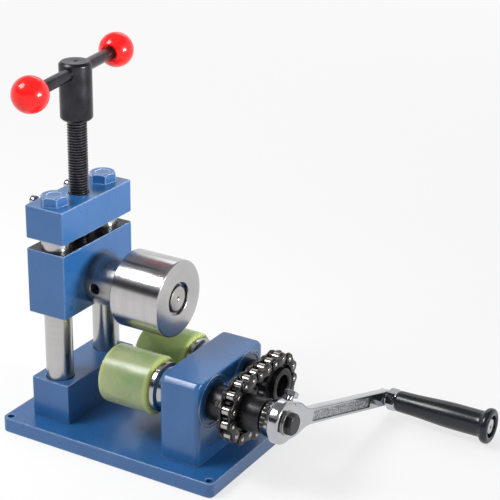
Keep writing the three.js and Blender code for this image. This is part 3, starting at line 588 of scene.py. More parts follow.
def cast_material():
    """The unpolished floor of the crank's recess."""
    material, tree, shader = new_material("cast_chrome")
    grain = noise(tree, object_place(tree), 700.0, 3.0, 0.7)
    spots = mapped(tree, grain, 0.42, 0.6, 0.0, 1.0)
    colour = blended(tree, spots, (0.16, 0.16, 0.17), (0.62, 0.63, 0.65))
    rough = ranged(tree, grain, 0.38, 0.24)
    bump = bumped(tree, grain, 0.0004, 0.8)
    set_sockets(tree, shader, Base_Color=colour, Metallic=1.0, Roughness=rough, Normal=bump)
    return material


def knob_material():
    material, tree, shader = new_material("red_phenolic")
    place = object_place(tree)
    cloud = mapped(tree, noise(tree, place, 40.0, 3.0), 0.35, 0.7, 0.0, 1.0)
    colour = blended(tree, cloud, (0.95, 0.010, 0.009), (0.84, 0.007, 0.007))
    rough = ranged(tree, noise(tree, place, 120.0, 4.0), 0.16, 0.24)
    bump = bumped(tree, noise(tree, place, 150.0, 1.0), 0.00003, 0.25)
    set_sockets(tree, shader, Base_Color=colour, Roughness=rough, Normal=bump)
    set_sockets(tree, shader, Specular_IOR_Level=0.3, Coat_Weight=0.25, Coat_Roughness=0.08)
    return material


def tyre_material(name, middle, rim):
    """Translucent polyurethane, its colour blended towards a brighter rim colour near its ends: painted
    light, for light that comes through there.
    """
    material, tree, shader = new_material(name)
    place = object_place(tree)
    along = add(tree, "SeparateXYZ", None, Vector=place).outputs["X"]
    centre = (SLEEVE[0] + SLEEVE[1]) / 2 * MM
    offset = operand(tree, "ABSOLUTE", operand(tree, "SUBTRACT", along, centre))
    # Brighter and yellower towards the ends: painted light.
    ends = mapped(tree, offset, 0.0205, 0.0262, 0.0, 1.0)
    cloud = noise(tree, stretched(tree, place, (0.6, 1.0, 1.0)), 42.0, 3.0)
    greener = (middle[0] * 0.55, middle[1] * 0.74, middle[2] * 0.62)
    mottled = blended(tree, mapped(tree, cloud, 0.38, 0.68, 0.0, 1.0), middle, greener)
    colour = blended(tree, ends, mottled, rim)
    rough = ranged(tree, cloud, 0.22, 0.34)
    lathe_marks = noise(tree, stretched(tree, turned_place(tree, "X"), (520.0, 60.0, 1.0)), 1.0, 2.0)
    bump = bumped(tree, lathe_marks, 0.00005, 0.4)
    set_sockets(tree, shader, Base_Color=colour, Roughness=rough, IOR=1.5, Normal=bump)
    set_sockets(
        tree, shader, Subsurface_Weight=0.45, Subsurface_Radius=(1.0, 1.0, 0.25), Subsurface_Scale=0.006)
    return material


def grip_material():
    material, tree, shader = new_material("grip_moulding")
    place = object_place(tree)
    cloud = noise(tree, place, 70.0, 4.0)
    colour = blended(tree, cloud, (0.008, 0.009, 0.014), (0.013, 0.014, 0.021))
    rough = ranged(tree, cloud, 0.20, 0.30)
    bump = bumped(tree, noise(tree, place, 900.0, 2.0), 0.00004, 0.4)
    set_sockets(tree, shader, Base_Color=colour, Roughness=rough, Normal=bump)
    return material


PAINT = paint_material()
ROLLER_STEEL = steel_material("roller_steel", "X", (0.52, 0.51, 0.51), 0.19, 0.25, 1400.0, 0.7)
COLLAR_STEEL = steel_material("collar_steel", "X", (0.34, 0.33, 0.33), 0.24, 0.34, 1400.0, 0.7)
COLUMN_STEEL = steel_material("column_steel", "Z", (0.50, 0.49, 0.485), 0.20, 0.25, 1100.0, 0.5)
CORE_STEEL = steel_material("core_steel", "X", (0.46, 0.455, 0.45), 0.16, 0.24, 1400.0, 0.6)
SHAFT_STEEL = steel_material("shaft_steel", "X", (0.50, 0.48, 0.45), 0.22, 0.34, 1400.0, 0.5, 0.4)
CHROME = chrome_material()
CAST_CHROME = cast_material()
# The grey that blackened edges and thread crests blend to: wear and a painted highlight.
WEAR_AND_HIGHLIGHT_GREY = (0.30, 0.30, 0.32)
BLACK_Z = black_material("black_oxide_upright_and_painted_shade", "Z", (0.024, 0.024, 0.029), 0.22, 0.36, WEAR_AND_HIGHLIGHT_GREY, 0.55)
BLACK_THREAD = black_material(
    "black_thread", "Z", (0.020, 0.020, 0.024), 0.20, 0.34, WEAR_AND_HIGHLIGHT_GREY, 0.6, THREAD["radius"] * MM)
BLACK_X = black_material("black_oxide", "X", (0.026, 0.026, 0.029), 0.24, 0.40, (0.34, 0.33, 0.33), 0.6)
BLACK_Y = black_material("black_oxide_bar", "Y", (0.024, 0.024, 0.028), 0.22, 0.36, (0.30, 0.30, 0.31), 0.5)
CHAIN_BLACK = black_material("chain_plate", "X", (0.034, 0.032, 0.029), 0.26, 0.44, (0.46, 0.44, 0.41), 0.9)
CHAIN_BRIGHT = steel_material("chain_roller", "X", (0.46, 0.45, 0.43), 0.18, 0.30)
KNOB_RED = knob_material()
# The far tyre is the same polyurethane, painted lighter than the near one: painted light that lifts it out
# of the shade under the roller.
TYRE_NEAR = tyre_material("polyurethane_near", (0.34, 0.39, 0.20), (0.50, 0.57, 0.18))
TYRE_FAR_PAINTED_LIGHTER = tyre_material("polyurethane_far_painted_lighter", (0.46, 0.56, 0.22), (0.60, 0.70, 0.22))
GRIP_BLACK = grip_material()


def piece(node, mesh, finishes, body, at=(0, 0, 0), turn=None, even_normals=False):
    """Puts a form in the place of a CAD node, moving with that node's body."""
    for finish in finishes:
        if finish.name not in mesh.materials:
            mesh.materials.append(finish)
    made = placed(node + "_form", mesh)
    made.matrix_world = Matrix.Translation(Vector(at) * MM) @ (turn or Matrix())
    if even_normals:
        made.modifiers.new("even_normals", "WEIGHTED_NORMAL").keep_sharp = True
    bpy.context.view_layer.update()
    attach(made, body)
    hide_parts(node)


def painted(node, mesh, at=(0, 0, 0)):
    piece(node, mesh, [PAINT], "frame", at, even_normals=True)


# Base plate and the blocks on the columns
def make_base_plate():
    u = PLATE[0] / 2 - PLATE_HOLE_INSET
    v = PLATE[1] / 2 - PLATE_HOLE_INSET
    outlines = [rectangle(PLATE[0], PLATE[1], 6)]
    for side_u in (-1, 1):
        for side_v in (-1, 1):
            outlines.append(hole(PLATE_HOLE_RADIUS, (side_u * u, side_v * v), SMALL))
    painted("base_plate", prism("Z", outlines, 0, PLATE[2], 0.7))


def block(low, high, holes):
    return prism("Z", [rectangle(BLOCK[0], BLOCK[1], 1.4)] + holes, low, high, 0.8)


def column_holes():
    return [hole(COLUMN_RADIUS + SEAT_GAP, (0, side * COLUMN_Y)) for side in (-1, 1)]


def make_fixed_blocks():
    painted("column_block", block(PLATE[2], COLUMN_BLOCK_TOP, column_holes()), COLUMN_PLACE)
    upper = block(TOP_BLOCK[0], TOP_BLOCK[1], [hole(THREAD["radius"] + RUNNING_GAP)])
    for side in (-1, 1):
        seat = rod("Z", COLUMN_RADIUS + SEAT_GAP, TOP_BLOCK[0] - 5, COLUMN_TOP + SEAT_GAP, 0.2)
        upper = combined(upper, shifted(seat, y=side * COLUMN_Y))
        back = -BLOCK[0] / 2
        screw_end = back + CLAMP_SCREW_END + SEAT_GAP
        screw_seat = rod("X", CLAMP_SCREW_RADIUS + SEAT_GAP, back - 2, screw_end, 0.1, SMALL)
        upper = combined(upper, shifted(screw_seat, y=side * CLAMP_SCREW_Y, z=CLAMP_SCREW_Z))
    painted("top_block", upper, COLUMN_PLACE)


def make_sliding_block():
    block_low, block_top = SLIDING_BLOCK
    slider = block(block_low, block_top, column_holes())
    neck_hole = rod("Z", NECK_RADIUS + RUNNING_GAP, block_top - NECK_DEPTH - SEAT_GAP, block_top + 3, 0.2)
    slider = combined(slider, neck_hole)
    shaft_hole = rod("X", UPPER_SHAFT + SEAT_GAP, -BLOCK[0], BLOCK[0], 0.2)
    slider = combined(slider, shifted(shaft_hole, z=UPPER_AXIS[2]))
    hole_radius = PIN_RADIUS + SEAT_GAP
    pin_hole = rod("X", hole_radius, -BLOCK[0], PIN_END + SEAT_GAP, 0.2, SMALL)
    pin_z = block_top - PIN_DEPTH
    slider = combined(slider, shifted(pin_hole, y=PIN_Y, z=pin_z))
    # The top face under the top block takes the blackened-steel finish: painted shade for the dark gap
    # between the blocks.
    for face in slider.polygons:
        if face.normal.z > 0.9 and face.center.z > (block_top - 0.5) * MM:
            face.material_index = 1
    finishes = [PAINT, BLACK_Z]
    piece("sliding_block", slider, finishes, "carriage", COLUMN_PLACE, even_normals=True)
    pin = rod("X", PIN_RADIUS, -BLOCK[0] / 2, PIN_END, 0.3, SMALL)
    pin_place = (COLUMN_X, PIN_Y, pin_z)
    piece("retaining_pin", pin, [SHAFT_STEEL], "carriage", pin_place)


def make_bearing_block():
    u = (BEARING_BLOCK[1] - BEARING_BLOCK[0]) / 2
    v = BEARING_BLOCK_SIDE
    top = BEARING_BLOCK_TOP
    rows = [
        (PLATE[2], u - 0.6, v - 0.6, 4.4),
        (PLATE[2] + 0.6, u, v, 5),
        (top - 5.2, u, v, 5),
        (top - 4.2, u, v - 0.5, 5),
        (top - 1.4, u, v - 3.1, 5),
        (top - 0.8, u - 0.2, v - 3.7, 4.8),
        (top - 0.3, u - 0.7, v - 4.4, 4.3),
        (top, u - 1.5, v - 5.4, 3.5),
    ]
    bearing_block = stacked(rows, ((BEARING_BLOCK[0] + BEARING_BLOCK[1]) / 2, 0))
    for side in (-1, 1):
        bore = rod("X", BEARING_BORE, 0, 100, 0.2)
        pocket = rod("X", BEARING_RADIUS + SEAT_GAP, BEARING_BLOCK[1] - BEARING_DEPTH, 100, 0.2, FINE)
        for cutter in (bore, pocket):
            bearing_block = combined(bearing_block, shifted(cutter, y=side * AXIS_Y, z=LOWER_Z))
    painted("bearing_block", bearing_block)


def make_columns():
    for side, name in ENDS:
        at = (COLUMN_X, side * COLUMN_Y, 0)
        column = rod("Z", COLUMN_RADIUS, PLATE[2], COLUMN_TOP, 0.8, FINE)
        thread_hole = rod("Z", BOLT_RADIUS + SEAT_GAP, BOLT_HOLE_END, 210, 0.2, SMALL)
        column = combined(column, thread_hole)
        piece("column_" + name, column, [COLUMN_STEEL], "frame", at)
        top = TOP_BLOCK[1]
        head = hex_head("Z", BOLT_HEAD_CORNER, top, top + BOLT_HEAD_HEIGHT, 0.3, 1.7)
        dimple = lathe("Z", [(top + 8.2, 0), (top + 8.4, 6.4), (top + 10, 7.4), (top + 10, 0)])
        head = combined(head, dimple)
        shank = rod("Z", BOLT_RADIUS, BOLT_HOLE_END + SEAT_GAP, top + 1, 0.3, SMALL)
        bolt = joined([(head, 0), (shank, 0)])
        piece("column_bolt_" + name, bolt, [PAINT], "frame", at)
        back = -BLOCK[0] / 2
        body = lathe("X", [
            (back - 13, 0), (back - 13, 4.6, 0.6), (back - 8.5, 4.6, 0.5), (back - 8.5, CLAMP_SCREW_RADIUS),
            (back + CLAMP_SCREW_END, CLAMP_SCREW_RADIUS), (back + CLAMP_SCREW_END, 0),
        ], SMALL)
        body = combined(body, prism("X", [polygon(6, 2.5)], back - 14, back - 10.75, 0.05, 1))
        at = (COLUMN_X, side * CLAMP_SCREW_Y, CLAMP_SCREW_Z)
        piece("clamp_screw_" + name, body, [CHROME], "frame", at)


def make_press_screw():
    hub_low = SCREW_HUB[0]
    block_top = SLIDING_BLOCK[1]
    thread = helix("Z", block_top + SEAT_GAP, hub_low + 0.5, **THREAD)
    low = block_top - NECK_DEPTH
    high = block_top + 1
    half_groove = PIN_RADIUS + SEAT_GAP
    groove_low = block_top - PIN_DEPTH - half_groove
    groove_high = groove_low + 2 * half_groove
    neck = lathe("Z", [
        (low, 0), (low, NECK_RADIUS, 0.8), (groove_low, NECK_RADIUS), (groove_low, NECK_GROOVE),
        (groove_high, NECK_GROOVE), (groove_high, NECK_RADIUS), (high, NECK_RADIUS), (high, 0),
    ], SMALL)
    stub = rod("Z", NECK_RADIUS, hub_low - 2, STUB_TOP, 0.3, SMALL)
    screw = joined([(thread, 0), (neck, 0), (stub, 0)])
    piece("press_screw", screw, [BLACK_THREAD], "pressure_screw", COLUMN_PLACE)


def make_handle():
    hub_low, hub_high = SCREW_HUB
    hub = lathe("Z", [
        (hub_low, 0), (hub_low, 12.3, 0.4), (hub_low + 2.2, SCREW_HUB_RADIUS, 0.8),
        (hub_high - 2.2, SCREW_HUB_RADIUS, 0.8), (hub_high, 12.3, 0.4), (hub_high - 0.5, 3.2, 0.3),
        (hub_high - 1.4, 0),
    ], FINE)
    cross = rod("Y", BAR_RADIUS + SEAT_GAP, -30, 30, 0.1)
    turn = Matrix.Rotation(BAR_TURN, 4, "Z")
    hub = combined(hub, shifted(cross, z=BAR_Z, turn=turn))
    hub = combined(hub, rod("Z", NECK_RADIUS + SEAT_GAP, hub_low - 2, STUB_TOP + SEAT_GAP, 0.1, SMALL))
    piece("screw_hub", hub, [BLACK_Z], "pressure_screw", COLUMN_PLACE)

    end = KNOB_Y - 5
    bar = rod("Y", BAR_RADIUS, -end, end, 0.8)
    piece("tommy_bar", bar, [BLACK_Y], "pressure_screw", (COLUMN_X, 0, BAR_Z), turn)
    land = 8.2
    flat = math.sqrt(KNOB_RADIUS ** 2 - land ** 2)
    profile = [
        (5, 0), (5, 5.8), (flat - 0.6, 5.8, 0.3), (flat - 0.6, 7.0, 0.2), (flat, 7.4, 0.2),
        (flat, land, 0.3),
    ]
    start = math.acos(flat / KNOB_RADIUS)
    profile += arc(KNOB_RADIUS, start, math.pi - start, 40)[1:-1] + [(-KNOB_RADIUS, 0)]
    for side, name in ENDS:
        ball = lathe("Y", [(-side * along, *rest) for along, *rest in profile], FINE)
        centre = turn @ Vector((0, side * KNOB_Y, 0)) + Vector((COLUMN_X, 0, BAR_Z))
        ball = shifted(ball, turn=turn)
        piece("knob_" + name, ball, [KNOB_RED], "pressure_screw", centre)


def make_upper_shaft():
    front = UPPER_ROLLER[1]
    clip = (front - 3.3, front - 1.9)
    shaft = lathe("X", [
        (COLUMN_X - 20, 0), (COLUMN_X - 20, UPPER_SHAFT, 0.8), (clip[0] - 0.3, UPPER_SHAFT),
        (clip[0] - 0.3, CIRCLIP_SEAT), (clip[1] + 0.3, CIRCLIP_SEAT), (clip[1] + 0.3, UPPER_SHAFT),
        (front - 0.6, UPPER_SHAFT, 0.9), (front - 0.6, 2.2), (front - 2.6, 0),
    ], FINE)
    piece("roller_shaft", shaft, [SHAFT_STEEL], "carriage", UPPER_AXIS)

    gap = math.radians(14)
    start = math.radians(45)
    sweep = 2 * math.pi - 2 * gap
    outline = arc(CIRCLIP_RADIUS, start + gap, sweep, 40)
    outline += arc(CIRCLIP_SEAT + RUNNING_GAP, start - gap, -sweep, 40)
    ring = prism("X", [outline], clip[0], clip[1], 0.25, 2)
    piece("roller_circlip", ring, [BLACK_X], "carriage", UPPER_AXIS)


def make_collar():
    collar = tube("X", UPPER_SHAFT + SEAT_GAP, COLLAR_RADIUS, COLLAR[0], COLLAR[1], 0.8, FINE)
    seat = rod("Y", SET_SCREW_RADIUS + SEAT_GAP, -30, 0, 0.1, SMALL)
    sink = lathe("Y", [(-24, 0), (-24, 6.9), (-21.6, 4.8), (-21.6, 0)], SMALL)
    for cutter in (seat, sink):
        collar = combined(collar, shifted(cutter, x=SET_SCREW_X))
    piece("shaft_collar", collar, [COLLAR_STEEL], "carriage", UPPER_AXIS)
    set_screw = rod("Y", SET_SCREW_RADIUS, -19.6, -11.6, 0.5, SMALL)
    socket = prism("Y", [polygon(6, 2.7)], -24, -15.5, 0.05, 1)
    set_screw = combined(set_screw, socket)
    at = (SET_SCREW_X, 0, UPPER_AXIS[2])
    piece("collar_set_screw", set_screw, [BLACK_Y], "carriage", at)


def make_upper_roller():
    back, front = UPPER_ROLLER
    bore = UPPER_SHAFT + RUNNING_GAP
    rim = UPPER_ROLLER_RADIUS
    roller = lathe("X", [
        (back, bore), (back, rim - 1, 0.3), (back + 1, rim, 0.3), (front - 1, rim, 0.3),
        (front, rim - 1, 0.3), (front, 15.6, 0.3), (front - 0.6, 15.0, 0.2), (front - 3.6, 15.0, 0.4),
        (front - 3.6, bore), (back, bore),
    ], 128)
    piece("upper_roller", roller, [ROLLER_STEEL], "top_roller", UPPER_AXIS)


def sprocket_outline(phase):
    seat = 4.6
    half_seat = math.radians(62)
    outline = []
    for tooth in range(TEETH):
        centre = phase + tooth * TOOTH_STEP
        middle = polar(PITCH_RADIUS, centre)
        outline += arc(seat, centre + math.pi + half_seat, -2 * half_seat, 8, middle)
        for spread, out in ((-2.6, 1.7), (-1.4, 2.3), (1.4, 2.3), (2.6, 1.7)):
            outline.append(polar(PITCH_RADIUS + out, centre + TOOTH_STEP / 2 + math.radians(spread)))
    return outline


def bolt_hole():
    """The tapped hole for the bolt that holds the crank to the drive shaft."""
    low = CRANK_HUB[2] - CRANK_BOLT_REACH - SEAT_GAP
    return rod("X", CRANK_BOLT_RADIUS + SEAT_GAP, low, 170, 0.1, SMALL)


def lower_axis(side):
    return (0, side * AXIS_Y, LOWER_Z)


def make_lower_roller(side, name, tyre, shaft_end):
    body = name + "_roller"
    at = lower_axis(side)
    core = lathe("X", [
        (CORE[0], SHAFT_BORE), (CORE[0], FLANGE_RADIUS, 0.6), (SLEEVE[0], FLANGE_RADIUS),
        (SLEEVE[0], SLEEVE_SEAT), (SLEEVE[1], SLEEVE_SEAT), (SLEEVE[1], FLANGE_RADIUS),
        (CORE[1], FLANGE_RADIUS, 0.7), (CORE[1] + 1.5, 18.6, 0.6), (CORE[2], 15.5, 0.5),
        (CORE[2], SHAFT_BORE), (CORE[0], SHAFT_BORE),
    ], FINE)
    piece(name + "_roller_core", core, [CORE_STEEL], body, at)
    low, high = SLEEVE[0] + SEAT_GAP, SLEEVE[1] - SEAT_GAP
    inside = SLEEVE_SEAT + SEAT_GAP
    sleeve = lathe("X", [
        (low, inside), (low, SLEEVE_RADIUS - 1.7, 0.8), (low + 1.7, SLEEVE_RADIUS, 1.0),
        (high - 1.7, SLEEVE_RADIUS, 1.0), (high, SLEEVE_RADIUS - 1.7, 0.8), (high, inside), (low, inside),
    ], 128, 5)
    piece(name + "_roller_sleeve", sleeve, [tyre], body, at)

    shaft = rod("X", SHAFT_RADIUS, CORE[0], shaft_end, 0.9)
    if side < 0:
        shaft = combined(shaft, bolt_hole())
    piece(name + "_shaft", shaft, [SHAFT_STEEL], body, at)


def make_sprocket(side, name, hub_end, wrap_start):
    phase = math.pi / 2 - side * wrap_start
    outlines = [sprocket_outline(phase), hole(SHAFT_BORE)]
    wheel = prism("X", outlines, CHAIN_X - TOOTH_WIDTH / 2, CHAIN_X + TOOTH_WIDTH / 2, 0.5, 2)
    face = lathe("X", [
        (CHAIN_X - 6, 0), (CHAIN_X - 3.6, 23.2), (CHAIN_X - 1.6, 28.2),
        (CHAIN_X + 1.6, 28.2), (CHAIN_X + 3.6, 23.2), (CHAIN_X + 6, 0),
    ])
    wheel = combined(wheel, face, "INTERSECT")
    hub_low = BEARING_BLOCK[1] + SEAT_GAP
    hub = lathe("X", [
        (hub_low, SHAFT_BORE), (hub_low, HUB_RADIUS, 0.8), (hub_end, HUB_RADIUS, 0.8),
        (hub_end, SHAFT_BORE + 0.6, 0.3), (hub_end - 0.6, SHAFT_BORE), (hub_low, SHAFT_BORE),
    ])
    seat = rod("Z", 2.6, 12.5, 30, 0.1, SMALL)
    tilt = Matrix.Rotation(GRUB_TURN, 4, "X")
    hub = combined(hub, shifted(seat, x=GRUB_X, turn=tilt))
    grub = rod("Z", 2.5, 11.0, 14.6, 0.4, SMALL)
    grub = combined(grub, prism("Z", [polygon(6, 1.4)], 12.8, 20, 0.05, 1))
    grub = shifted(grub, x=GRUB_X, turn=tilt)
    sprocket = joined([(wheel, 0), (hub, 0), (grub, 1)])
    at = lower_axis(side)
    piece(name + "_sprocket", sprocket, [BLACK_X, SHAFT_STEEL], name + "_roller", at)


def make_bearings():
    x = BEARING_BLOCK[1]
    back = x - BEARING_DEPTH
    ring = lathe("X", [
        (back, BEARING_BORE), (back, BEARING_RADIUS), (x, BEARING_RADIUS, 0.7), (x, 20.6, 0.5),
        (x - 1.0, 20.2, 0.2), (x - 1.0, 13.9, 0.2), (x, 13.5, 0.5), (x, BEARING_BORE, 0.6),
        (back, BEARING_BORE),
    ], FINE)
    seal = lathe("X", [
        (x - 2, 13.2), (x - 0.75, 13.9), (x - 0.55, 14.6, 0.2), (x - 0.75, 15.6, 0.2),
        (x - 0.55, 19.0, 0.2), (x - 0.75, 20.0, 0.2), (x - 2, 20.6), (x - 2, 13.2),
    ], FINE)
    for side, name in ENDS:
        bearing = joined([(ring, 0), (seal, 0)])
        piece("bearing_" + name, bearing, [PAINT], "frame", lower_axis(side))


# Chain: the pin centres as (y, z) round the loop, starting on the front sprocket
def chain_pins():
    span = 2 * AXIS_Y
    top_links = math.floor((span + CHAIN_PITCH) / CHAIN_PITCH)
    wrap_start = math.asin((top_links * CHAIN_PITCH - span) / (2 * PITCH_RADIUS))
    wrapped = TEETH // 2

    def wrap(side):
        pins = []
        for i in range(wrapped + 1):
            angle = side * (wrap_start + i * TOOTH_STEP)
            y = side * AXIS_Y + PITCH_RADIUS * math.sin(angle)
            pins.append(Vector((y, LOWER_Z + PITCH_RADIUS * math.cos(angle))))
        return pins

    near = wrap(-1)[::-1]
    far = wrap(1)
    pins = list(near)
    for i in range(1, top_links):
        pins.append(near[-1] + Vector((i * CHAIN_PITCH, 0)))
    pins += far
    gap = far[-1].x - near[0].x
    lower_links = math.ceil((gap + 1.5) / CHAIN_PITCH)
    middle = (lower_links - 1) / 2

    def reach(bend):
        return sum(CHAIN_PITCH / math.hypot(1, bend * (i - middle)) for i in range(lower_links))

    low, high = 0.0, 10.0
    for _ in range(60):
        half = (low + high) / 2
        low, high = (half, high) if reach(half) > gap else (low, half)
    here = far[-1].copy()
    for i in range(lower_links - 1):
        slope = low * (i - middle)
        scale = CHAIN_PITCH / math.hypot(1, slope)
        here = here + Vector((-scale, scale * slope))
        pins.append(here)
    return pins, wrap_start


def link_plate(height, x_low, x_high, ends=(True, True), joggle=0.35):
    """A waisted link plate in the link's own plane, or the half of it that one pin carries."""
    radius = height / 2
    waist = radius * 0.74
    half = CHAIN_PITCH / 2
    wrap = math.radians(240)
    outline = []
    if ends[0]:
        outline += arc(radius, math.radians(60), wrap, 12)
    else:
        outline += [Vector((half - joggle, waist)), Vector((half - joggle, -waist))]
    if ends[0] and ends[1]:
        outline.append(Vector((half, -waist)))
    if ends[1]:
        outline += arc(radius, math.radians(-120), wrap, 12, (CHAIN_PITCH, 0))
    else:
        outline += [Vector((half + joggle, -waist)), Vector((half + joggle, waist))]
    if ends[0] and ends[1]:
        outline.append(Vector((half, waist)))
    return prism("X", [outline], x_low, x_high, 0.3, 2)


def chain_pin(at, reach=7.7):
    pin = lathe("X", [
        (-reach, 0), (-reach, 1.5, 0.2), (-reach + 0.5, 2.1, 0.2),
        (reach - 0.5, 2.1, 0.2), (reach, 1.5, 0.2), (reach, 0),
    ], 24)
    return shifted(pin, y=at)


def chain_roller(at):
    return shifted(tube("X", 2.45, 4.25, -3.75, 3.75, 0.4, SMALL), y=at)


def make_chain(pins):
    inner_in, inner_out, outer_in, outer_out = 3.8, 5.3, 5.6, 7.1
    ends = (0, CHAIN_PITCH)
    outer_parts = [(chain_pin(at), 1) for at in ends]
    inner_parts = [(chain_roller(at), 1) for at in ends]
    cranked_parts = [(chain_pin(0), 1), (chain_roller(CHAIN_PITCH), 1)]
    joggle = rectangle(1.2, 7.8, 0.2, (CHAIN_PITCH / 2, 0), 2)
    for side in (-1, 1):
        inner = sorted((side * inner_in, side * inner_out))
        outer = sorted((side * outer_in, side * outer_out))
        across = sorted((side * inner_in, side * outer_out))
        inner_parts.append((link_plate(INNER_PLATE, *inner), 0))
        outer_parts.append((link_plate(OUTER_PLATE, *outer), 0))
        cranked_parts += [
            (link_plate(INNER_PLATE, *inner, (False, True)), 0),
            (link_plate(OUTER_PLATE, *outer, (True, False)), 0),
            (prism("X", [joggle], *across, 0.2, 2), 0),
        ]
    meshes = {"outer": joined(outer_parts), "inner": joined(inner_parts), "cranked": joined(cranked_parts)}
    count = len(pins)
    for i, here in enumerate(pins):
        following = pins[(i + 1) % count]
        kind = "outer" if i % 2 == 0 else "inner"
        if i == count - 1 and count % 2 == 1:
            kind = "cranked"
        turn = Matrix.Rotation(math.atan2(following.y - here.y, following.x - here.x), 4, "X")
        node = f"chain_link_{i + 1:02d}_{kind}"
        at = (CHAIN_X, here.x, here.y)
        piece(node, meshes[kind], [CHAIN_BLACK, CHAIN_BRIGHT], "frame", at, turn)


def arm_outline():
    upper = [
        (0, 17.5), (12, 16.6), (20, 15.2), (23, 14.2), (27, 12.2), (31, 10.1), (35, 8.6), (41, 7.6),
        (48, TIP_RADIUS),
    ]
    outline = [Vector((along, -half)) for along, half in upper]
    outline += arc(TIP_RADIUS, -math.pi / 2, math.pi, 24, (CRANK_RADIUS, 0))
    outline += [Vector((along, half)) for along, half in reversed(upper)]
    return outline


def make_crank_arm(at, turn, clamp_turn):
    bar = prism("X", [arm_outline()], -4, 4, 1.3, 4)
    for side in (-1, 1):
        low, high = sorted((side * 2.8, side * 6))
        panel = rectangle(PANEL[1] - PANEL[0], PANEL_HEIGHT, 1.6, ((PANEL[0] + PANEL[1]) / 2, 0), 4)
        bar = combined(bar, prism("X", [panel], low, high, 0.05, 1))
    lean = CRANK_OFFSET / CRANK_RADIUS
    shear = Matrix.Identity(4)
    shear[0][1] = lean
    shear[0][3] = ARM_ROOT_X * MM
    bar.transform(shear)
    back, eye_back, front = CRANK_HUB
    eye = lathe("X", [
        (back, 0), (back, 14.5, 1.0), (eye_back + 0.5, 18.0), (eye_back + 1.8, EYE_RADIUS, 1.2),
        (front - 1.8, EYE_RADIUS, 1.2), (front, 17.6, 0.6), (front, 0),
    ], FINE)
    bore = rod("X", SHAFT_BORE, back - 5, DRIVE_SHAFT_END + SEAT_GAP, 0.1)
    clamp_bore = rod("Z", CLAMP_THREAD["radius"] + SEAT_GAP, 0, 40, 0.1, SMALL)
    clamp_bore = shifted(clamp_bore, x=CLAMP_X, turn=clamp_turn)
    tip = rod("X", TIP_RADIUS, -4.83, 4.83, 0.8)
    end_x = ARM_ROOT_X + CRANK_OFFSET
    body = combined(eye, bar, "UNION")
    body = combined(body, shifted(tip, x=end_x, y=CRANK_RADIUS), "UNION")
    for cutter in (bore, bolt_hole(), clamp_bore, shifted(spindle_hole(), y=CRANK_RADIUS)):
        body = combined(body, cutter)
    for face in body.polygons:
        x, y, z = face.center / MM
        depth = abs(x - ARM_ROOT_X - lean * y)
        if depth < 3.95 and PANEL[0] - 0.1 < y < PANEL[1] + 0.1 and abs(z) < 5:
            face.material_index = 1 if depth < 2.85 else 2
    finishes = [CHROME, CAST_CHROME, BLACK_Y]
    piece("crank_arm", body, finishes, "drive_roller", at, turn, even_normals=True)


def make_crank_screws(at, turn, clamp_turn):
    front = CRANK_HUB[2]
    seat = front + WASHER_THICKNESS
    washer = tube("X", CRANK_BOLT_RADIUS + 0.2, WASHER_RADIUS, front, seat)
    head = hex_head("X", CRANK_HEAD_CORNER, seat, seat + CRANK_HEAD_HEIGHT, 0.2, 1.2)
    shank = rod("X", CRANK_BOLT_RADIUS, front - CRANK_BOLT_REACH, front + 2, 0.4, SMALL)
    bolt = joined([(washer, 1), (head, 0), (shank, 0)])
    piece("crank_bolt", bolt, [BLACK_X, SHAFT_STEEL], "drive_roller", at, turn)

    clamp_at = (CLAMP_X, -AXIS_Y, LOWER_Z)
    clamp_shank = helix("Z", 10.65, 22.6, **CLAMP_THREAD, steps=24)
    clamp = joined([(clamp_shank, 0), (hex_head("Z", 6.4, 22.5, 27.1, 0.4, 0.8), 0)])
    piece("crank_clamp_screw", clamp, [CHROME], "drive_roller", clamp_at, turn @ clamp_turn)


def spindle_hole():
    return rod("X", SPINDLE_RADIUS + SEAT_GAP, 150, 190, 0.1, SMALL)


def make_grip(centre, turn):
    back, shoulder, front = SPINDLE
    spindle = lathe("X", [
        (back, 0), (back, SPINDLE_RADIUS, 0.4), (shoulder, SPINDLE_RADIUS), (shoulder, 7.0, 0.6),
        (front, 7.0, 0.9), (front, 2.4, 0.2), (front - 1.08, 1.8), (front - 1.08, 0),
    ])
    piece("grip_spindle", spindle, [CHROME], "drive_roller", centre)
    nut = hex_head("X", 10.4, NUT[0], NUT[1], 0.3, 1.3, both=True)
    nut = combined(nut, spindle_hole())
    piece("spindle_nut", nut, [CHROME], "drive_roller", centre, turn)

    low, high = GRIP
    bore = SPINDLE_RADIUS + RUNNING_GAP
    grip = lathe("X", [
        (low, bore), (low, 9.3, 0.6), (low + 1.2, 9.9, 0.6), (low + 20, 10.4, 8), (low + 50, 12.3, 12),
        (high - 12, 12.2, 3), (high - 9.5, 12.6, 1.2), (high - 7.5, 15.6, 1.6), (high - 4.5, 16.8, 1.8),
        (high - 1.2, 16.2, 1.6), (high, 13.6, 1.2), (high - 0.6, 10.4, 0.8), (high - 5, 9.6, 0.5),
        (high - 5, bore), (low, bore),
    ], FINE, 6)
    piece("grip", grip, [GRIP_BLACK], "hand_grip", centre)


def make_crank():
    turn = Matrix.Rotation(-CRANK_DROP, 4, "X")
    clamp_turn = Matrix.Rotation(-CLAMP_LEAN, 4, "X")
    at = lower_axis(-1)
    make_crank_arm(at, turn, clamp_turn)
    make_crank_screws(at, turn, clamp_turn)
    make_grip(turn @ Vector((0, CRANK_RADIUS, 0)) + Vector(at), turn)


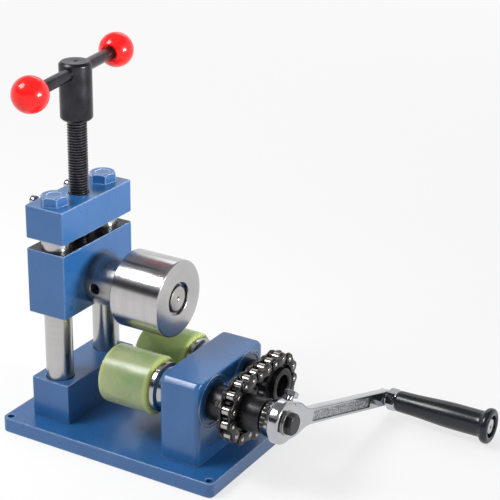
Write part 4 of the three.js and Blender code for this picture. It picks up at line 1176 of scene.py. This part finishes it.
make_base_plate()
make_fixed_blocks()
make_sliding_block()
make_bearing_block()
make_columns()
make_press_screw()
make_handle()
make_upper_shaft()
make_collar()
make_upper_roller()
loop, first_wrap = chain_pins()
make_lower_roller(-1, "drive", TYRE_NEAR, DRIVE_SHAFT_END)
make_sprocket(-1, "drive", DRIVE_HUB_END, first_wrap)
make_lower_roller(1, "driven", TYRE_FAR_PAINTED_LIGHTER, DRIVEN_SHAFT_END)
make_sprocket(1, "driven", DRIVEN_HUB_END, first_wrap)
make_bearings()
make_chain(loop)
make_crank()


# Floor, light and camera
def seen_directly(tree):
    """1 for rays from the camera, and for reflected and transmitted ones."""
    path = add(tree, "LightPath").outputs
    both = operand(tree, "MAXIMUM", path["Is Camera Ray"], path["Is Glossy Ray"])
    return operand(tree, "MAXIMUM", both, path["Is Transmission Ray"])


def make_floor():
    corners = [(-6, -6, 0), (6, -6, 0), (6, 6, 0), (-6, 6, 0)]
    mesh = bpy.data.meshes.new("floor")
    mesh.from_pydata(corners, [], [(0, 1, 2, 3)])
    floor = placed("floor", mesh)
    floor.location.z = cad_box[0][2] - 0.0002
    material, tree, shader = new_material("floor")
    tree.nodes.remove(shader)
    matte = add(tree, "BsdfDiffuse", None, Color=(0.86, 0.86, 0.86, 1)).outputs[0]
    glow = add(tree, "Emission", None, Color=(1, 1, 1, 1), Strength=1.0).outputs[0]
    distance = add(tree, "VectorMath", {"operation": "LENGTH"}, Vector=object_place(tree)).outputs["Value"]
    share = operand(tree, "MULTIPLY", seen_directly(tree), mapped(tree, distance, 0.6, 2.6, 0.72, 1.0))
    mix = tree.nodes.new("ShaderNodeMixShader")
    tree.links.new(share, mix.inputs[0])
    tree.links.new(matte, mix.inputs[1])
    tree.links.new(glow, mix.inputs[2])
    set_sockets(tree, tree.nodes["Material Output"], Surface=mix.outputs[0])
    mesh.materials.append(material)


def make_world():
    world = bpy.data.worlds.new("studio")
    bpy.context.scene.world = world
    world.use_nodes = True
    tree = world.node_tree
    tree.nodes.clear()
    parts = add(tree, "SeparateXYZ", None, Vector=add(tree, "TexCoord").outputs["Generated"]).outputs
    path = add(tree, "LightPath").outputs
    ceiling = mapped(tree, parts["Z"], 0.44, 0.62, 0.0, 1.0)
    backdrop = blended(tree, ceiling, (0.95, 0.95, 0.96), (0.26, 0.26, 0.28))
    front = mapped(tree, parts["Y"], -0.20, -0.50, 0.0, 1.0)
    low = mapped(tree, parts["Z"], 0.16, 0.26, 0.0, 1.0)
    high = mapped(tree, parts["Z"], 0.58, 0.50, 0.0, 1.0)
    room = operand(tree, "MULTIPLY", operand(tree, "MULTIPLY", front, low), high)
    reflected = blended(tree, room, backdrop, (0.03, 0.03, 0.035))
    sky = mapped(tree, parts["Z"], -0.2, 0.9, 0.25, 0.60)
    side = mapped(tree, parts["X"], -0.6, 0.8, 0.18, -0.14)
    level = operand(tree, "ADD", sky, side)
    ambient = add(tree, "CombineXYZ", None, X=level, Y=level, Z=level).outputs["Vector"]
    sharp = operand(tree, "MAXIMUM", path["Is Glossy Ray"], path["Is Transmission Ray"])
    colour = blended(tree, sharp, ambient, reflected)
    colour = blended(tree, path["Is Camera Ray"], colour, (1.0, 1.0, 1.0))
    background = add(tree, "Background", None, Color=colour, Strength=1.0).outputs[0]
    add(tree, "OutputWorld", None, Surface=background)


def add_light(name, place, target, size, energy, spread=180):
    data = bpy.data.lights.new(name, "AREA")
    data.shape = "RECTANGLE"
    data.size, data.size_y = size
    data.energy = energy
    data.spread = math.radians(spread)
    light = placed(name, data)
    light.location = place
    light.rotation_euler = (Vector(target) - Vector(place)).to_track_quat("-Z", "Y").to_euler()


def make_camera():
    azimuth, elevation, roll = math.radians(30.33), math.radians(22.44), math.radians(0.913)
    right = Vector((math.cos(azimuth), math.sin(azimuth), 0))
    outward = Vector((math.sin(azimuth), -math.cos(azimuth), 0))
    back = outward * math.cos(elevation) + Vector((0, 0, math.sin(elevation)))
    up = back.cross(right)
    tilted_right = math.cos(roll) * right + math.sin(roll) * up
    tilted_up = math.cos(roll) * up - math.sin(roll) * right
    data = bpy.data.cameras.new("camera")
    data.lens = 109.82
    data.sensor_width = 36
    data.clip_end = 30
    camera = placed("camera", data)
    place = (0.70007, -1.01726, 0.68895)
    rotation = Matrix((tilted_right, tilted_up, back)).transposed().to_4x4()
    camera.matrix_world = Matrix.Translation(place) @ rotation
    bpy.context.scene.camera = camera


make_floor()
make_world()
add_light("key", (-0.66, -0.62, 1.30), (0, 0, 0.12), (0.55, 0.55), 15)
add_light("back", (-0.5, 1.3, 1.25), (0, 0, 0.08), (0.8, 0.5), 2)
add_light("right", (1.35, 0.1, 0.50), (0, 0, 0.32), (0.5, 0.2), 1.2, 32)
make_camera()
bpy.context.scene.view_settings.view_transform = "Standard"
